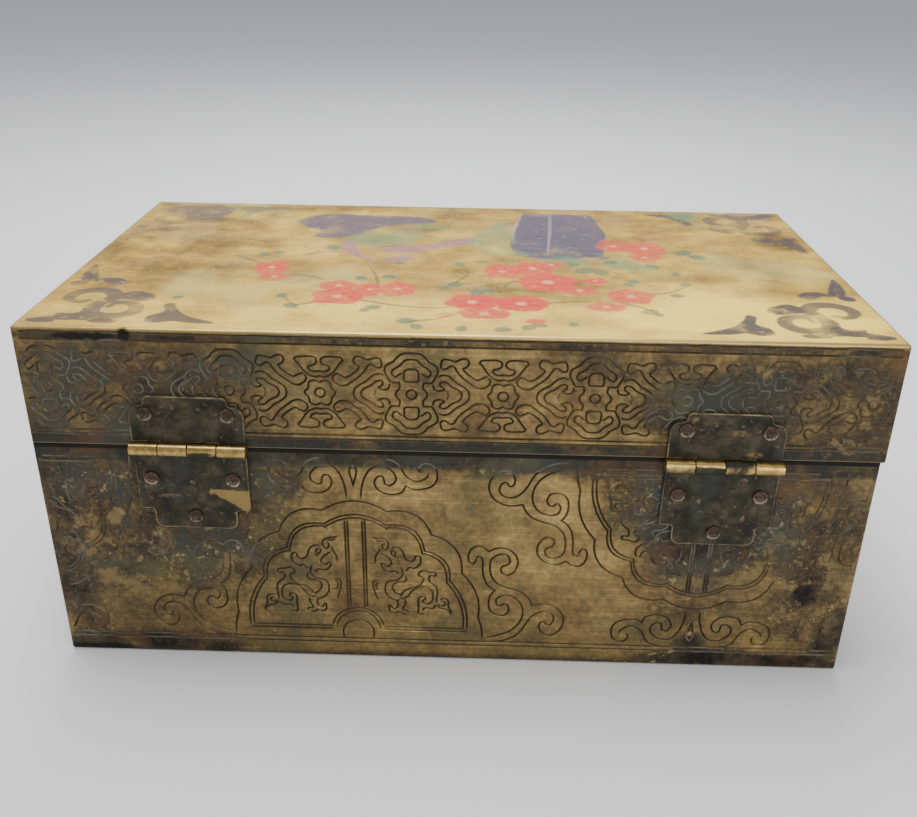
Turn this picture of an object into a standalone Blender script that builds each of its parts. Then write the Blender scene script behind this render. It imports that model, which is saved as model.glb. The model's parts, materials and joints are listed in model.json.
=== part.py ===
"""Engraved sheet-brass jewelry box: a hollow case, a hinged lid and two riveted butt hinges.

The case stands on its underside, with the origin at the centre of that face.
+X runs along the length, +Z is up and the hinges are on the -Y side.
The lid turns on one axis that passes through both hinge pins.
"""

import math

import bmesh
import bpy
from mathutils import Vector, geometry

# Case and lid, in metres
CASE_LENGTH = 0.2340
CASE_DEPTH = 0.1320
CASE_HEIGHT = 0.0715
LID_OVERHANG = 0.0012
LID_LENGTH = CASE_LENGTH + LID_OVERHANG
LID_HEIGHT = 0.0345
LID_SHIFT = 0.0006
SEAM_GAP = 0.0004
WALL = 0.0012
EDGE_RADIUS = 0.0009
EDGE_SEGMENTS = 2

# Hinges
CLEARANCE = 0.0003
HINGE_INSET = 0.0442
HINGE_DROP = 0.0004
HINGE_TILT = math.radians(0.5)
LEAF_THICKNESS = 0.00075
LEAF_HALF_WIDTH = 0.01575
UPPER_LEAF_REACH = 0.0156
UPPER_STEP_REACH = 0.0128
UPPER_STEP_WIDTH = 0.0042
UPPER_SHOULDER = 0.0030
LOWER_LEAF_REACH = 0.0258
LOWER_STEP_REACH = 0.0197
LOWER_STEP_WIDTH = 0.0040
LOWER_SHOULDER = 0.0011
LEAF_CORNER = 0.0019
BARREL_RADIUS = 0.00185
BARREL_WALL = 0.00075
BARREL_LENGTH = 0.0324
KNUCKLES = 4
BARREL_SIDES = 12

# Rivets, with their places measured from the middle of the hinge axis
RIVET_HEAD_RADIUS = 0.00215
RIVET_HEAD_HEIGHT = 0.00065
RIVET_SHANK_RADIUS = 0.0011
TAIL_SHARE = 0.85
HEAD_TOP_SHARE = 0.8
RIVET_SIDES = 8
UPPER_RIVET_X = 0.0112
UPPER_RIVET_Z = 0.0104
LOWER_RIVET_X = 0.0114
LOWER_RIVET_Z = -0.0096
FOOT_RIVET_Z = -0.0216

# Engraving
LINE_HALF_WIDTH = 0.00032
LINE_DEPTH = 0.00025
PANEL_MARGIN = 0.0008
CURVE_TOLERANCE = 0.0007
SPLINE_STEPS = 8
TRACK_CELL = 12
BAND_DESIGN_HEIGHT = 0.0345
CASE_DESIGN_HEIGHT = 0.0715
BAND_CENTRE = 0.0172
BAND_PERIOD = 0.0491
BAND_PHASE = -0.0120
MEDALLION_PHASE = -0.0280
MEDALLION_SPACING = 0.0997
MEDALLION_TURN_HEIGHT = 0.0765
LID_BORDERS = (0.0033, 0.0312)
CASE_FOOT_BORDER = 0.0069
CASE_BORDER_DROP = 0.0053
TOP_BORDER_REACH = 0.0300

MM = 0.001
UP = Vector((0.0, 0.0, 1.0))

# Quarter of the lid's repeat, in millimetres from the centre of a cloud motif
CLOUD_HEAD = ((0, 12), (2.4, 11.6), (4.4, 10), (6.4, 8.6), (7, 7), (6.1, 4.6), (5.3, 3.5), (3.3, 3.5))
HOOK = ((6.7, 4.9), (8.9, 5.9), (10.8, 4.9), (12.4, 3.4), (14.4, 2.2), (15.6, 0))
LINK_ARM = ((7.8, 8.6), (8.6, 10.4), (11, 10), (13.6, 10.7), (15.3, 9.6), (14, 7.9), (16, 5.3), (18.3, 4.7),
            (20.6, 5.6), (20.6, 3.2), (18, 2.3), (14, 4.9), (11, 8.5))

# Right half of the case's medallion, in millimetres from its axis and the underside.
# Each lobe is a cusp, the next cusp and the rise of the arc between them.
OUTER_LOBES = ((9.2, 52.2, 3.3), (22.0, 44.8, 3.3), (30.9, 31.8, 3.1), (36.0, 15.8, 2.0), (37.3, 6.9, 0.5))
INNER_LOBES = ((8.9, 47.6, 3.4), (20.0, 39.1, 3.6), (27.4, 28.9, 2.8), (32.3, 10.5, 2.2))
OUTER_TOP = 55.5
INNER_TOP = 51.0
LOBE_STEPS = 3
ARCH_CENTRE = 10.5
ARCH_RADIUS = 7.8
ARCH_FOOT = 8
ARCH_STEPS = 4
BAR_OFFSET = 2.4
BAR_TOP = 49.6
BAR_FOOT = 18.4
SCROLL_OUTER = ((38.9, 39.6), (42.5, 40.9), (46.2, 38.9), (47.1, 35), (45.4, 31.9), (42.7, 32.6), (44.5, 35.4),
                (44, 38), (40.4, 37.6), (39.1, 33), (41.5, 28.3), (46, 26.5), (50.1, 24.2), (51.9, 20.8),
                (55.5, 21.4), (59.7, 19.6), (61.6, 15.4), (59.9, 11.2), (56, 10.3), (54.3, 13), (57.3, 13.8),
                (58.2, 17), (55, 18.3), (51.5, 16), (48.4, 10.6), (44.5, 8.2))
SCROLL_INNER = ((38.9, 39.6), (35.5, 41.2), (32.7, 38), (34.1, 35.2), (36.7, 37.2), (37.5, 30), (40.6, 26),
                (39, 21.5), (40.5, 17.5), (44.1, 17.2), (44.4, 20.6), (41.7, 20.6), (42.4, 23.8), (46.6, 23.3),
                (49.2, 18.4), (46.4, 12), (40, 8.8))
DRAGON_BACK = ((12.6, 33.5), (13.6, 31), (11.5, 28.6), (8.6, 26.8), (9, 23), (12, 21.4), (13.6, 23.4),
               (17, 26), (21.4, 26), (22.4, 22.6), (19.8, 20.2))
DRAGON_HEAD = ((4.9, 43.8), (9.2, 42), (7.2, 38.6), (9.9, 36), (8, 33.9), (9.8, 31.7), (13.9, 31.4),
               (18.4, 34), (17.2, 37.2), (14, 37.2), (12, 40.1), (10, 38.6))
SPRAY = ((2.2, 55.6), (4.6, 58), (9.6, 57.9), (12.3, 62.5), (9.6, 66.6), (6.6, 63.6), (9.6, 61.4))


def clear_scene():
    """Remove every object of the open scene."""
    for thing in list(bpy.data.objects):
        bpy.data.objects.remove(thing, do_unlink=True)


def metal(name, colour, roughness):
    """Make a plain metal material."""
    made = bpy.data.materials.new(name)
    made.use_nodes = True
    shader = made.node_tree.nodes["Principled BSDF"]
    shader.inputs["Base Color"].default_value = (*colour, 1.0)
    shader.inputs["Roughness"].default_value = roughness
    shader.inputs["Metallic"].default_value = 1.0
    return made


def add_object(name, bm, material, parent=None, location=(0.0, 0.0, 0.0)):
    """Turn a bmesh into a named object of the scene."""
    mesh = bpy.data.meshes.new(name)
    bm.to_mesh(mesh)
    bm.free()
    if material:
        mesh.materials.append(material)
    thing = bpy.data.objects.new(name, mesh)
    bpy.context.scene.collection.objects.link(thing)
    thing.parent = parent
    thing.location = location
    return thing


def spline(points, closed=False):
    """Catmull-Rom curve through control points, given in millimetres, as points in metres."""
    knots = [Vector(p) * MM for p in points]
    count = len(knots)
    spans = count if closed else count - 1
    curve = []
    for i in range(spans):
        before = knots[(i - 1) % count] if closed or i else knots[i]
        start = knots[i]
        end = knots[(i + 1) % count]
        after = knots[(i + 2) % count] if closed or i + 2 < count else end
        for step in range(SPLINE_STEPS):
            t = step / SPLINE_STEPS
            curve.append(0.5 * (2 * start + (end - before) * t
                                + (2 * before - 5 * start + 4 * end - after) * t * t
                                + (3 * start - before - 3 * end + after) * t ** 3))
    curve.append(curve[0].copy() if closed else knots[-1])
    return thin_out(curve)


def thin_out(curve):
    """Keep only the points of a curve that its shape needs, by the largest distance from each chord."""
    if len(curve) < 3:
        return curve
    start = curve[0]
    chord = curve[-1] - start
    length = chord.length
    worst = 0.0
    place = 0
    for i in range(1, len(curve) - 1):
        offset = curve[i] - start
        away = abs(chord.x * offset.y - chord.y * offset.x) / length if length > PANEL_MARGIN else offset.length
        if away > worst:
            worst = away
            place = i
    if worst < CURVE_TOLERANCE:
        return [curve[0], curve[-1]]
    return thin_out(curve[:place + 1])[:-1] + thin_out(curve[place:])


def arc(centre, radius, start, end, steps):
    """Points on a circular arc, in metres from millimetres."""
    angles = [math.radians(start + (end - start) * i / steps) for i in range(steps + 1)]
    return [Vector((centre[0] + radius * math.cos(a), centre[1] + radius * math.sin(a))) * MM for a in angles]


def lobed(top, lobes):
    """Half outline of a lobed medallion from the top of its axis: arcs that meet at inward cusps."""
    outline = [Vector((0.0, top)) * MM]
    before = Vector((-lobes[0][0], lobes[0][1]))
    for number, (x, z, rise) in enumerate(lobes):
        cusp = Vector((x, z))
        chord = cusp - before
        outward = Vector((-chord.y, chord.x)).normalized()
        first = LOBE_STEPS // 2 + 1 if number == 0 else 1
        for step in range(first, LOBE_STEPS + 1):
            t = step / LOBE_STEPS
            point = before + chord * t + outward * rise * 4 * t * (1 - t)
            outline.append(point * MM)
        before = cusp
    return outline


def both_sides(half):
    """Join a curve that starts on the upright axis to its mirror image."""
    return [Vector((-p.x, p.y)) for p in reversed(half)] + half[1:]


def both_levels(half):
    """Join a curve that ends on the level axis to its mirror image."""
    return half + [Vector((p.x, -p.y)) for p in reversed(half[:-1])]


def flipped(curve, centre_x, centre_z, flip_x, flip_z):
    """Copy a curve to a centre, mirrored along either axis."""
    return [Vector((centre_x + flip_x * p.x, centre_z + flip_z * p.y)) for p in curve]


def clipped(curve, half_width, low, high):
    """Cut a curve into the runs that lie inside a panel's margin."""
    runs = []
    run = []
    for point in curve:
        if abs(point.x) <= half_width and low <= point.y <= high:
            run.append(point)
        elif run:
            runs.append(run)
            run = []
    runs.append(run)
    return [r for r in runs if len(r) > 1]


def straight(start, end):
    """Straight groove whose ends run out over its own width."""
    taper = (end - start).normalized() * LINE_HALF_WIDTH * 2
    return [start, start + taper, end - taper, end]


def border(start, end, height):
    """Level border line between two places along a side."""
    return straight(Vector((start, height)), Vector((end, height)))


def lid_lines(length, height, full):
    """Engraved lines of one side of the lid: two borders and the repeating band."""
    grow = height / BAND_DESIGN_HEIGHT
    half = length / 2 - PANEL_MARGIN - EDGE_RADIUS
    low = PANEL_MARGIN
    high = height - EDGE_RADIUS - PANEL_MARGIN
    shapes = [(both_sides(spline(CLOUD_HEAD)), 1, flip) for flip in (-1, 1)]
    if full:
        shapes += [(both_levels(spline(HOOK)), flip, 1) for flip in (-1, 1)]
        arm = spline(LINK_ARM, closed=True)
        shapes += [(arm, flip_x, flip_z) for flip_x in (-1, 1) for flip_z in (-1, 1)]
    lines = []
    reach = math.ceil(half / BAND_PERIOD) + 1
    for repeat in range(-reach, reach + 1):
        centre = BAND_PHASE + repeat * BAND_PERIOD
        for shape, flip_x, flip_z in shapes:
            turned = flipped([p * grow for p in shape], centre, BAND_CENTRE * grow, flip_x, flip_z)
            lines += clipped(turned, half, low, high)
    return lines + [border(-half, half, level * grow) for level in LID_BORDERS]


def medallion_shapes(full):
    """Engraved curves of one medallion, its figures and the scrolls beside it."""
    arch = arc((0, ARCH_CENTRE), ARCH_RADIUS, 90, ARCH_FOOT, ARCH_STEPS)
    halves = [lobed(OUTER_TOP, OUTER_LOBES)]
    sides = []
    if full:
        halves += [lobed(INNER_TOP, INNER_LOBES), arch]
        sides.append(straight(Vector((BAR_OFFSET, BAR_TOP)) * MM, Vector((BAR_OFFSET, BAR_FOOT)) * MM))
        figures = (SCROLL_OUTER, SCROLL_INNER, DRAGON_BACK, DRAGON_HEAD, SPRAY)
        sides += [spline(figure) for figure in figures]
    whole = [(both_sides(half), 1) for half in halves]
    return whole + [(side, flip_x) for side in sides for flip_x in (-1, 1)]


def case_lines(length, height, full):
    """Engraved lines of one side of the case: medallions that turn over in turn, and their borders."""
    grow = height / CASE_DESIGN_HEIGHT
    half = length / 2 - PANEL_MARGIN - EDGE_RADIUS
    low = PANEL_MARGIN + EDGE_RADIUS
    high = height - CASE_BORDER_DROP * grow
    lines = [border(-half, half, CASE_FOOT_BORDER * grow)]
    reach = math.ceil(half / MEDALLION_SPACING) + 1
    for repeat in range(-reach, reach + 1):
        centre = MEDALLION_PHASE + repeat * MEDALLION_SPACING
        flip_z = -1 if repeat % 2 else 1
        base = MEDALLION_TURN_HEIGHT * grow if repeat % 2 else 0.0
        for shape, flip_x in medallion_shapes(full):
            turned = flipped([p * grow for p in shape], centre, base, flip_x, flip_z)
            lines += clipped(turned, half, low, high)
        start = max(centre - TOP_BORDER_REACH, -half)
        end = min(centre + TOP_BORDER_REACH, half)
        if repeat % 2 and end - start > TOP_BORDER_REACH / 2:
            lines.append(border(start, end, high))
    return lines


def groove_edges(line):
    """Points of a V groove along a line: its bottom, and both lips drawn in to a point at each end."""
    closed = (line[0] - line[-1]).length < PANEL_MARGIN / 2 and len(line) > 3
    middle = line[:-1] if closed else line
    count = len(middle)
    lips = ([], [])
    for i in range(count):
        if not closed and i in (0, count - 1):
            continue
        before = (middle[i] - middle[i - 1]).normalized()
        after = (middle[(i + 1) % count] - middle[i]).normalized()
        across = Vector((-(before + after).y, (before + after).x))
        if across.length < LINE_DEPTH:
            across = Vector((-before.y, before.x))
        across.normalize()
        spread = max(across.dot(Vector((-before.y, before.x))), 0.5)
        lips[0].append(middle[i] + across * LINE_HALF_WIDTH / spread)
        lips[1].append(middle[i] - across * LINE_HALF_WIDTH / spread)
    return closed, middle, lips


def depth_at(point, tracks):
    """Depth of the engraving at a point: deepest on a line and nothing at its lips and ends."""
    deepest = 0.0
    for start, end, opens, shuts in tracks:
        run = end - start
        t = min(max((point - start).dot(run) / run.length_squared, 0.0), 1.0)
        away = (point - start - run * t).length
        full = opens + (shuts - opens) * t
        if away < LINE_HALF_WIDTH * full:
            deepest = max(deepest, LINE_DEPTH * full * (1 - away / (LINE_HALF_WIDTH * full)))
    return deepest


def engrave(bm, face, right, lines, foot):
    """Replace a flat side face by the same rectangle cut with V grooves.

    Lines are given from the middle of the side and the height of foot, in metres.
    """
    corners = list(face.verts)
    bm.faces.remove(face)
    inward = UP.cross(right)
    level = corners[0].co.dot(inward)
    points = [Vector((c.co.dot(right), c.co.z - foot)) for c in corners]
    edges = []
    tracks = []
    for line in lines:
        closed, middle, lips = groove_edges(line)
        count = len(middle)
        first = len(points)
        points += middle
        ring = list(range(first, first + count))
        edges += [(ring[i], ring[i + 1]) for i in range(count - 1)]
        if closed:
            edges.append((ring[-1], ring[0]))
        for lip in lips:
            start = len(points)
            points += lip
            side = list(range(start, start + len(lip)))
            path = side + side[:1] if closed else ring[:1] + side + ring[-1:]
            edges += [(path[i], path[i + 1]) for i in range(len(path) - 1)]
        for i in range(count if closed else count - 1):
            opens = 0.0 if not closed and i == 0 else 1.0
            shuts = 0.0 if not closed and i == count - 2 else 1.0
            if opens + shuts > 0:
                tracks.append((middle[i], middle[(i + 1) % count], opens, shuts))
    flat = [p / MM for p in points]
    made, _, triangles, origins, _, _ = geometry.delaunay_2d_cdt(flat, edges, [], 0, 0.004)
    boxes = track_boxes(tracks)
    verts = []
    for place, sources in zip(made, origins):
        corner = [s for s in sources if s < len(corners)]
        if corner:
            verts.append(corners[corner[0]])
            continue
        spot = place * MM
        sunk = depth_at(spot, near_tracks(spot, boxes))
        verts.append(bm.verts.new(right * spot.x + UP * (spot.y + foot) + inward * (level + sunk)))
    for triangle in triangles:
        bm.faces.new([verts[i] for i in triangle])


def track_boxes(tracks):
    """Sort groove tracks into square cells, so that a point is only measured against near ones."""
    cell = LINE_HALF_WIDTH * TRACK_CELL
    boxes = {"cell": cell}
    for number, track in enumerate(tracks):
        run = track[1] - track[0]
        pieces = math.ceil(run.length / cell) + 1
        for i in range(pieces + 1):
            spot = track[0] + run * i / pieces
            boxes.setdefault((round(spot.x / cell), round(spot.y / cell)), set()).add(number)
    boxes["tracks"] = tracks
    return boxes


def near_tracks(spot, boxes):
    """Tracks in the cells round a point."""
    column = round(spot.x / boxes["cell"])
    row = round(spot.y / boxes["cell"])
    near = set()
    for i in (-1, 0, 1):
        for j in (-1, 0, 1):
            near |= boxes.get((column + i, row + j), set())
    return [boxes["tracks"][n] for n in sorted(near)]


def open_box(length, depth, height, closed_below, side_lines):
    """Hollow sheet-metal box, open at one end, with engraved sides and rounded edges."""
    bm = bmesh.new()
    bmesh.ops.create_cube(bm, size=1.0)
    for vert in bm.verts:
        vert.co.x *= length
        vert.co.y *= depth
        vert.co.z = (vert.co.z + 0.5) * height
    open_z = height if closed_below else 0.0
    rounded = [e for e in bm.edges if not all(abs(v.co.z - open_z) < WALL for v in e.verts)]
    bmesh.ops.bevel(bm, geom=rounded, offset=EDGE_RADIUS, offset_type="OFFSET", segments=EDGE_SEGMENTS,
                    profile=0.5, affect="EDGES")
    bm.normal_update()
    sides = [(Vector((1, 0, 0)), length, True), (Vector((0, 1, 0)), depth, False),
             (Vector((-1, 0, 0)), length, False), (Vector((0, -1, 0)), depth, False)]
    chosen = []
    for right, side_length, full in sides:
        outward = right.cross(UP)
        flat = [f for f in bm.faces if f.normal.dot(outward) > 0.999]
        chosen.append((max(flat, key=lambda f: f.calc_area()), right, side_length, full))
    for face, right, side_length, full in chosen:
        engrave(bm, face, right, side_lines(side_length, height, full), 0.0)
    hollow(bm, length, depth, height, closed_below)
    bmesh.ops.recalc_face_normals(bm, faces=bm.faces)
    return bm


def hollow(bm, length, depth, height, closed_below):
    """Cut the inside out of a closed box through its open end, leaving the wall all round."""
    open_z = height if closed_below else 0.0
    deep_z = WALL if closed_below else height - WALL
    mouth = next(f for f in bm.faces if all(abs(v.co.z - open_z) < WALL / 10 for v in f.verts))
    rim = list(mouth.verts)
    bm.faces.remove(mouth)
    turn = ((1, 1), (-1, 1), (-1, -1), (1, -1))
    inner = {}
    deep = {}
    for sx, sy in turn:
        x = sx * (length / 2 - WALL)
        y = sy * (depth / 2 - WALL)
        inner[sx, sy] = bm.verts.new((x, y, open_z))
        deep[sx, sy] = bm.verts.new((x, y, deep_z))
    for i, vert in enumerate(rim):
        after = rim[(i + 1) % len(rim)]
        here = inner[math.copysign(1, vert.co.x), math.copysign(1, vert.co.y)]
        there = inner[math.copysign(1, after.co.x), math.copysign(1, after.co.y)]
        bm.faces.new([vert, after, there, here] if here is not there else [vert, after, here])
    for i, key in enumerate(turn):
        after = turn[(i + 1) % len(turn)]
        bm.faces.new([inner[key], inner[after], deep[after], deep[key]])
    bm.faces.new([deep[key] for key in turn])


def drum(name, profile, sides, axis_turn, parent, location, material):
    """Turned solid about an axis from a list of radius and height pairs."""
    bm = bmesh.new()
    rings = []
    for radius, height in profile:
        ring = []
        for i in range(sides):
            angle = 2 * math.pi * i / sides
            ring.append(bm.verts.new((radius * math.cos(angle), radius * math.sin(angle), height)))
        rings.append(ring)
    for low, high in zip(rings, rings[1:]):
        for i in range(sides):
            j = (i + 1) % sides
            bm.faces.new([low[i], low[j], high[j], high[i]])
    bm.faces.new(rings[0][::-1])
    bm.faces.new(rings[-1])
    bmesh.ops.recalc_face_normals(bm, faces=bm.faces)
    made = add_object(name, bm, material, parent, location)
    made.rotation_euler = axis_turn
    return made


def use_tool(target, tool, operation):
    """Join or cut a solid by a Boolean whose tool stays hidden."""
    tool.hide_render = True
    tool.display_type = "WIRE"
    change = target.modifiers.new(tool.name, "BOOLEAN")
    change.object = tool
    change.operation = operation
    change.solver = "EXACT"


def corner_arc(centre_x, centre_z, radius, start, end):
    """Points of a rounded plate corner."""
    steps = EDGE_SEGMENTS
    angles = [math.radians(start + (end - start) * i / steps) for i in range(steps + 1)]
    return [(centre_x + radius * math.cos(a), centre_z + radius * math.sin(a)) for a in angles]


def leaf_outline(reach, step_reach, step_width, shoulder, own_knuckles):
    """Plate of a hinge leaf above the axis: stepped far corners, and notches round the other leaf's knuckles."""
    r = LEAF_CORNER
    half = LEAF_HALF_WIDTH
    neck = half - step_width
    side = corner_arc(half - shoulder, step_reach - shoulder, shoulder, 0, 90)
    far = corner_arc(neck - r, reach - r, r, 0, 90)
    right = side + [(neck, step_reach)] + far
    left = [(-x, z) for x, z in reversed(right)]
    outline = right + left
    clear = BARREL_RADIUS + CLEARANCE
    pitch = BARREL_LENGTH / KNUCKLES
    foot = []
    for number in range(KNUCKLES):
        start = max(-BARREL_LENGTH / 2 + number * pitch, -half)
        end = min(-BARREL_LENGTH / 2 + (number + 1) * pitch, half)
        if number in own_knuckles:
            foot += [(start + CLEARANCE / 2, 0.0), (end - CLEARANCE / 2, 0.0)]
        else:
            left_end = start - CLEARANCE / 2 if number else start
            right_end = end + CLEARANCE / 2 if number < KNUCKLES - 1 else end
            foot += [(left_end, clear), (right_end, clear)]
    return outline + [p for i, p in enumerate(foot) if i == 0 or p != foot[i - 1]]


def leaf(name, hinge, material, facing, reaches, shoulder, own_knuckles, rivets):
    """Hinge leaf: a thin stepped plate with its own knuckles curled round the pin."""
    bm = bmesh.new()
    back = BARREL_RADIUS - CLEARANCE / 6
    front = back - LEAF_THICKNESS
    outline = leaf_outline(*reaches, shoulder, own_knuckles)
    rings = [[bm.verts.new((x, y, facing * z)) for x, z in outline] for y in (back, front)]
    for i in range(len(outline)):
        j = (i + 1) % len(outline)
        bm.faces.new([rings[0][i], rings[0][j], rings[1][j], rings[1][i]])
    bm.faces.new(rings[0])
    bm.faces.new(rings[1])
    bmesh.ops.recalc_face_normals(bm, faces=bm.faces)
    plate = add_object(name, bm, material, hinge)
    pitch = BARREL_LENGTH / KNUCKLES
    along = (0.0, math.pi / 2, 0.0)
    for number in own_knuckles:
        middle = (number + 0.5) * pitch - BARREL_LENGTH / 2
        half = pitch / 2 - CLEARANCE / 2
        knuckle = drum(f"{name}_knuckle_{number}", [(BARREL_RADIUS, -half), (BARREL_RADIUS, half)],
                       BARREL_SIDES, along, hinge, (middle, 0.0, 0.0), None)
        use_tool(plate, knuckle, "UNION")
    bore_half = BARREL_LENGTH / 2 + BARREL_RADIUS
    bore = BARREL_RADIUS - BARREL_WALL
    cutter = drum(f"{name}_bore", [(bore, -bore_half), (bore, bore_half)], BARREL_SIDES, along, hinge,
                  (0.0, 0.0, 0.0), None)
    use_tool(plate, cutter, "DIFFERENCE")
    for number, (x, z) in enumerate(rivets):
        use_tool(plate, rivet_hole(f"{name}_hole_{number}", hinge, x, z), "DIFFERENCE")
    return plate


def rivet_hole(name, hinge, x, z):
    """Hidden cylinder that bores a rivet's running hole through leaf and wall."""
    radius = RIVET_SHANK_RADIUS + CLEARANCE
    reach = BARREL_RADIUS + WALL * 2
    return drum(name, [(radius, -reach), (radius, reach)], RIVET_SIDES, (math.pi / 2, 0.0, 0.0), hinge,
                (x, BARREL_RADIUS, z), None)


def rivet(name, hinge, material, x, z):
    """Rivet through leaf and wall: a flattened head, a shank and a peened tail."""
    plate_front = LEAF_THICKNESS
    head = plate_front + CLEARANCE
    top = head + RIVET_HEAD_HEIGHT
    tail = -(CLEARANCE + WALL + CLEARANCE)
    tail_end = tail - RIVET_HEAD_HEIGHT / 2
    r = RIVET_HEAD_RADIUS
    s = RIVET_SHANK_RADIUS
    profile = [(r * TAIL_SHARE, tail_end), (r * TAIL_SHARE, tail), (s, tail), (s, head), (r, head),
               (r * HEAD_TOP_SHARE, top)]
    return drum(name, profile, RIVET_SIDES, (math.pi / 2, 0.0, 0.0), hinge,
                (x, BARREL_RADIUS - CLEARANCE / 6, z), material)


def hinge_set(side, centre_x, axis_middle, turning, plates, pins, heads, case, lid):
    """One butt hinge on the hinge axis: two leaves, a pin and five rivets."""
    offset = centre_x - axis_middle.x
    place = axis_middle + Vector((math.cos(HINGE_TILT), 0.0, -math.sin(HINGE_TILT))) * offset
    frames = {}
    for part_name, carrier in (("upper", turning), ("lower", None)):
        frame = bpy.data.objects.new(f"{side}_hinge_{part_name}_frame", None)
        bpy.context.scene.collection.objects.link(frame)
        frame.parent = carrier
        frame.location = (offset, 0.0, 0.0) if carrier else place
        frame.rotation_euler = (0.0, 0.0, 0.0) if carrier else (0.0, HINGE_TILT, 0.0)
        frames[part_name] = frame
    upper_rivets = [(-UPPER_RIVET_X, UPPER_RIVET_Z), (UPPER_RIVET_X, UPPER_RIVET_Z)]
    lower_rivets = [(-LOWER_RIVET_X, LOWER_RIVET_Z), (LOWER_RIVET_X, LOWER_RIVET_Z), (0.0, FOOT_RIVET_Z)]
    upper_reaches = (UPPER_LEAF_REACH, UPPER_STEP_REACH, UPPER_STEP_WIDTH)
    leaf(f"{side}_hinge_upper_leaf", frames["upper"], plates, 1, upper_reaches, UPPER_SHOULDER,
         range(1, KNUCKLES, 2), upper_rivets)
    lower_reaches = (LOWER_LEAF_REACH, LOWER_STEP_REACH, LOWER_STEP_WIDTH)
    leaf(f"{side}_hinge_lower_leaf", frames["lower"], plates, -1, lower_reaches, LOWER_SHOULDER,
         range(0, KNUCKLES, 2), lower_rivets)
    pin_radius = BARREL_RADIUS - BARREL_WALL - CLEARANCE
    pin_half = BARREL_LENGTH / 2
    drum(f"{side}_hinge_pin", [(pin_radius, -pin_half), (pin_radius, pin_half)], RIVET_SIDES,
         (0.0, math.pi / 2, 0.0), frames["lower"], (0.0, 0.0, 0.0), pins)
    groups = ((upper_rivets, "upper", lid), (lower_rivets, "lower", case))
    for spots, part_name, shell in groups:
        for number, (x, z) in enumerate(spots):
            rivet(f"{side}_hinge_{part_name}_rivet_{number + 1}", frames[part_name], heads, x, z)
            hole = rivet_hole(f"{side}_{part_name}_wall_hole_{number}", frames[part_name], x, z)
            use_tool(shell, hole, "DIFFERENCE")


def build():
    """Build the whole box, closed."""
    clear_scene()
    brass = metal("engraved_brass", (0.52, 0.36, 0.15), 0.42)
    lid_brass = metal("lid_brass", (0.42, 0.33, 0.20), 0.48)
    plates = metal("tarnished_leaf", (0.10, 0.09, 0.06), 0.55)
    pins = metal("pin_brass", (0.80, 0.62, 0.28), 0.30)
    heads = metal("rivet_copper", (0.45, 0.27, 0.20), 0.45)

    case = add_object("case", open_box(CASE_LENGTH, CASE_DEPTH, CASE_HEIGHT, True, case_lines), brass)

    axis_y = -CASE_DEPTH / 2 - CLEARANCE - BARREL_RADIUS
    axis_middle = Vector((LID_SHIFT, axis_y, CASE_HEIGHT - HINGE_DROP))
    turning = bpy.data.objects.new("lid_hinge_axis", None)
    bpy.context.scene.collection.objects.link(turning)
    turning.location = axis_middle
    turning.rotation_euler = (0.0, HINGE_TILT, 0.0)
    bpy.context.view_layer.update()

    lid_mesh = open_box(LID_LENGTH, CASE_DEPTH, LID_HEIGHT, False, lid_lines)
    lid = add_object("lid", lid_mesh, lid_brass, turning)
    rest = Vector((LID_SHIFT, 0.0, CASE_HEIGHT + SEAM_GAP))
    lid.matrix_parent_inverse = turning.matrix_world.inverted()
    lid.location = rest

    for side, direction in (("left", -1), ("right", 1)):
        centre_x = LID_SHIFT + direction * (LID_LENGTH / 2 - HINGE_INSET)
        hinge_set(side, centre_x, axis_middle, turning, plates, pins, heads, case, lid)
    bpy.context.view_layer.update()


build()
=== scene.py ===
"""Looks of the engraved brass jewelry box: chased lines, patina, the painted lid and worn hinges."""
import json
import math

import bmesh
import bpy
import numpy as np
from mathutils import Matrix, Vector, geometry


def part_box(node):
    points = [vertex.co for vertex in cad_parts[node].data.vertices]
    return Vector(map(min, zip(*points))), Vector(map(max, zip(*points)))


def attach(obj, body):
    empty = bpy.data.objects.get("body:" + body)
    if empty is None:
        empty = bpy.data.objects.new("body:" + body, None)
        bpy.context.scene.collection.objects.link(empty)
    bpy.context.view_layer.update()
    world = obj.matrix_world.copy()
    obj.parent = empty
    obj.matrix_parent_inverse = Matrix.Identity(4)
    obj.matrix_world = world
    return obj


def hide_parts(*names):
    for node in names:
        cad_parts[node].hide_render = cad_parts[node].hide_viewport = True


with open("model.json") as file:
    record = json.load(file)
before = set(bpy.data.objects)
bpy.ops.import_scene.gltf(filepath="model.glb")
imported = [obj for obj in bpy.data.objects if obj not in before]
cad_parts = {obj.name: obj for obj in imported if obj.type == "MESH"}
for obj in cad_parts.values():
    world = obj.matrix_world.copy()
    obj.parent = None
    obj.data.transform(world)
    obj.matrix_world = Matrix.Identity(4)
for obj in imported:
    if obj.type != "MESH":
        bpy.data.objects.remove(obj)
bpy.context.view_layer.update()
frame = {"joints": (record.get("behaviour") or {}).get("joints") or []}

MM = 0.001
UP = Vector((0.0, 0.0, 1.0))

# Sizes and places read from the frame, in metres
CASE_LOW, CASE_HIGH = (Vector(c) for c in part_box("case"))
LID_LOW, LID_HIGH = (Vector(c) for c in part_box("lid"))
JOINT = frame["joints"][0]
AXIS_POINT = Vector(JOINT["pos_m"])
AXIS = Vector(JOINT["axis"]).normalized()
CASE_SIZE = CASE_HIGH - CASE_LOW
LID_SIZE = LID_HIGH - LID_LOW

# Sheet metal, in metres
WALL = 0.0012
EDGE_RADIUS = 0.0009
EDGE_SEGMENTS = 5
RIM_SOFTENING = 0.00022
SHARP_ANGLE = math.radians(32)
# Material slots of the case and the lid
OUTSIDE, INSIDE, PAINTED = 0, 1, 2

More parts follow.
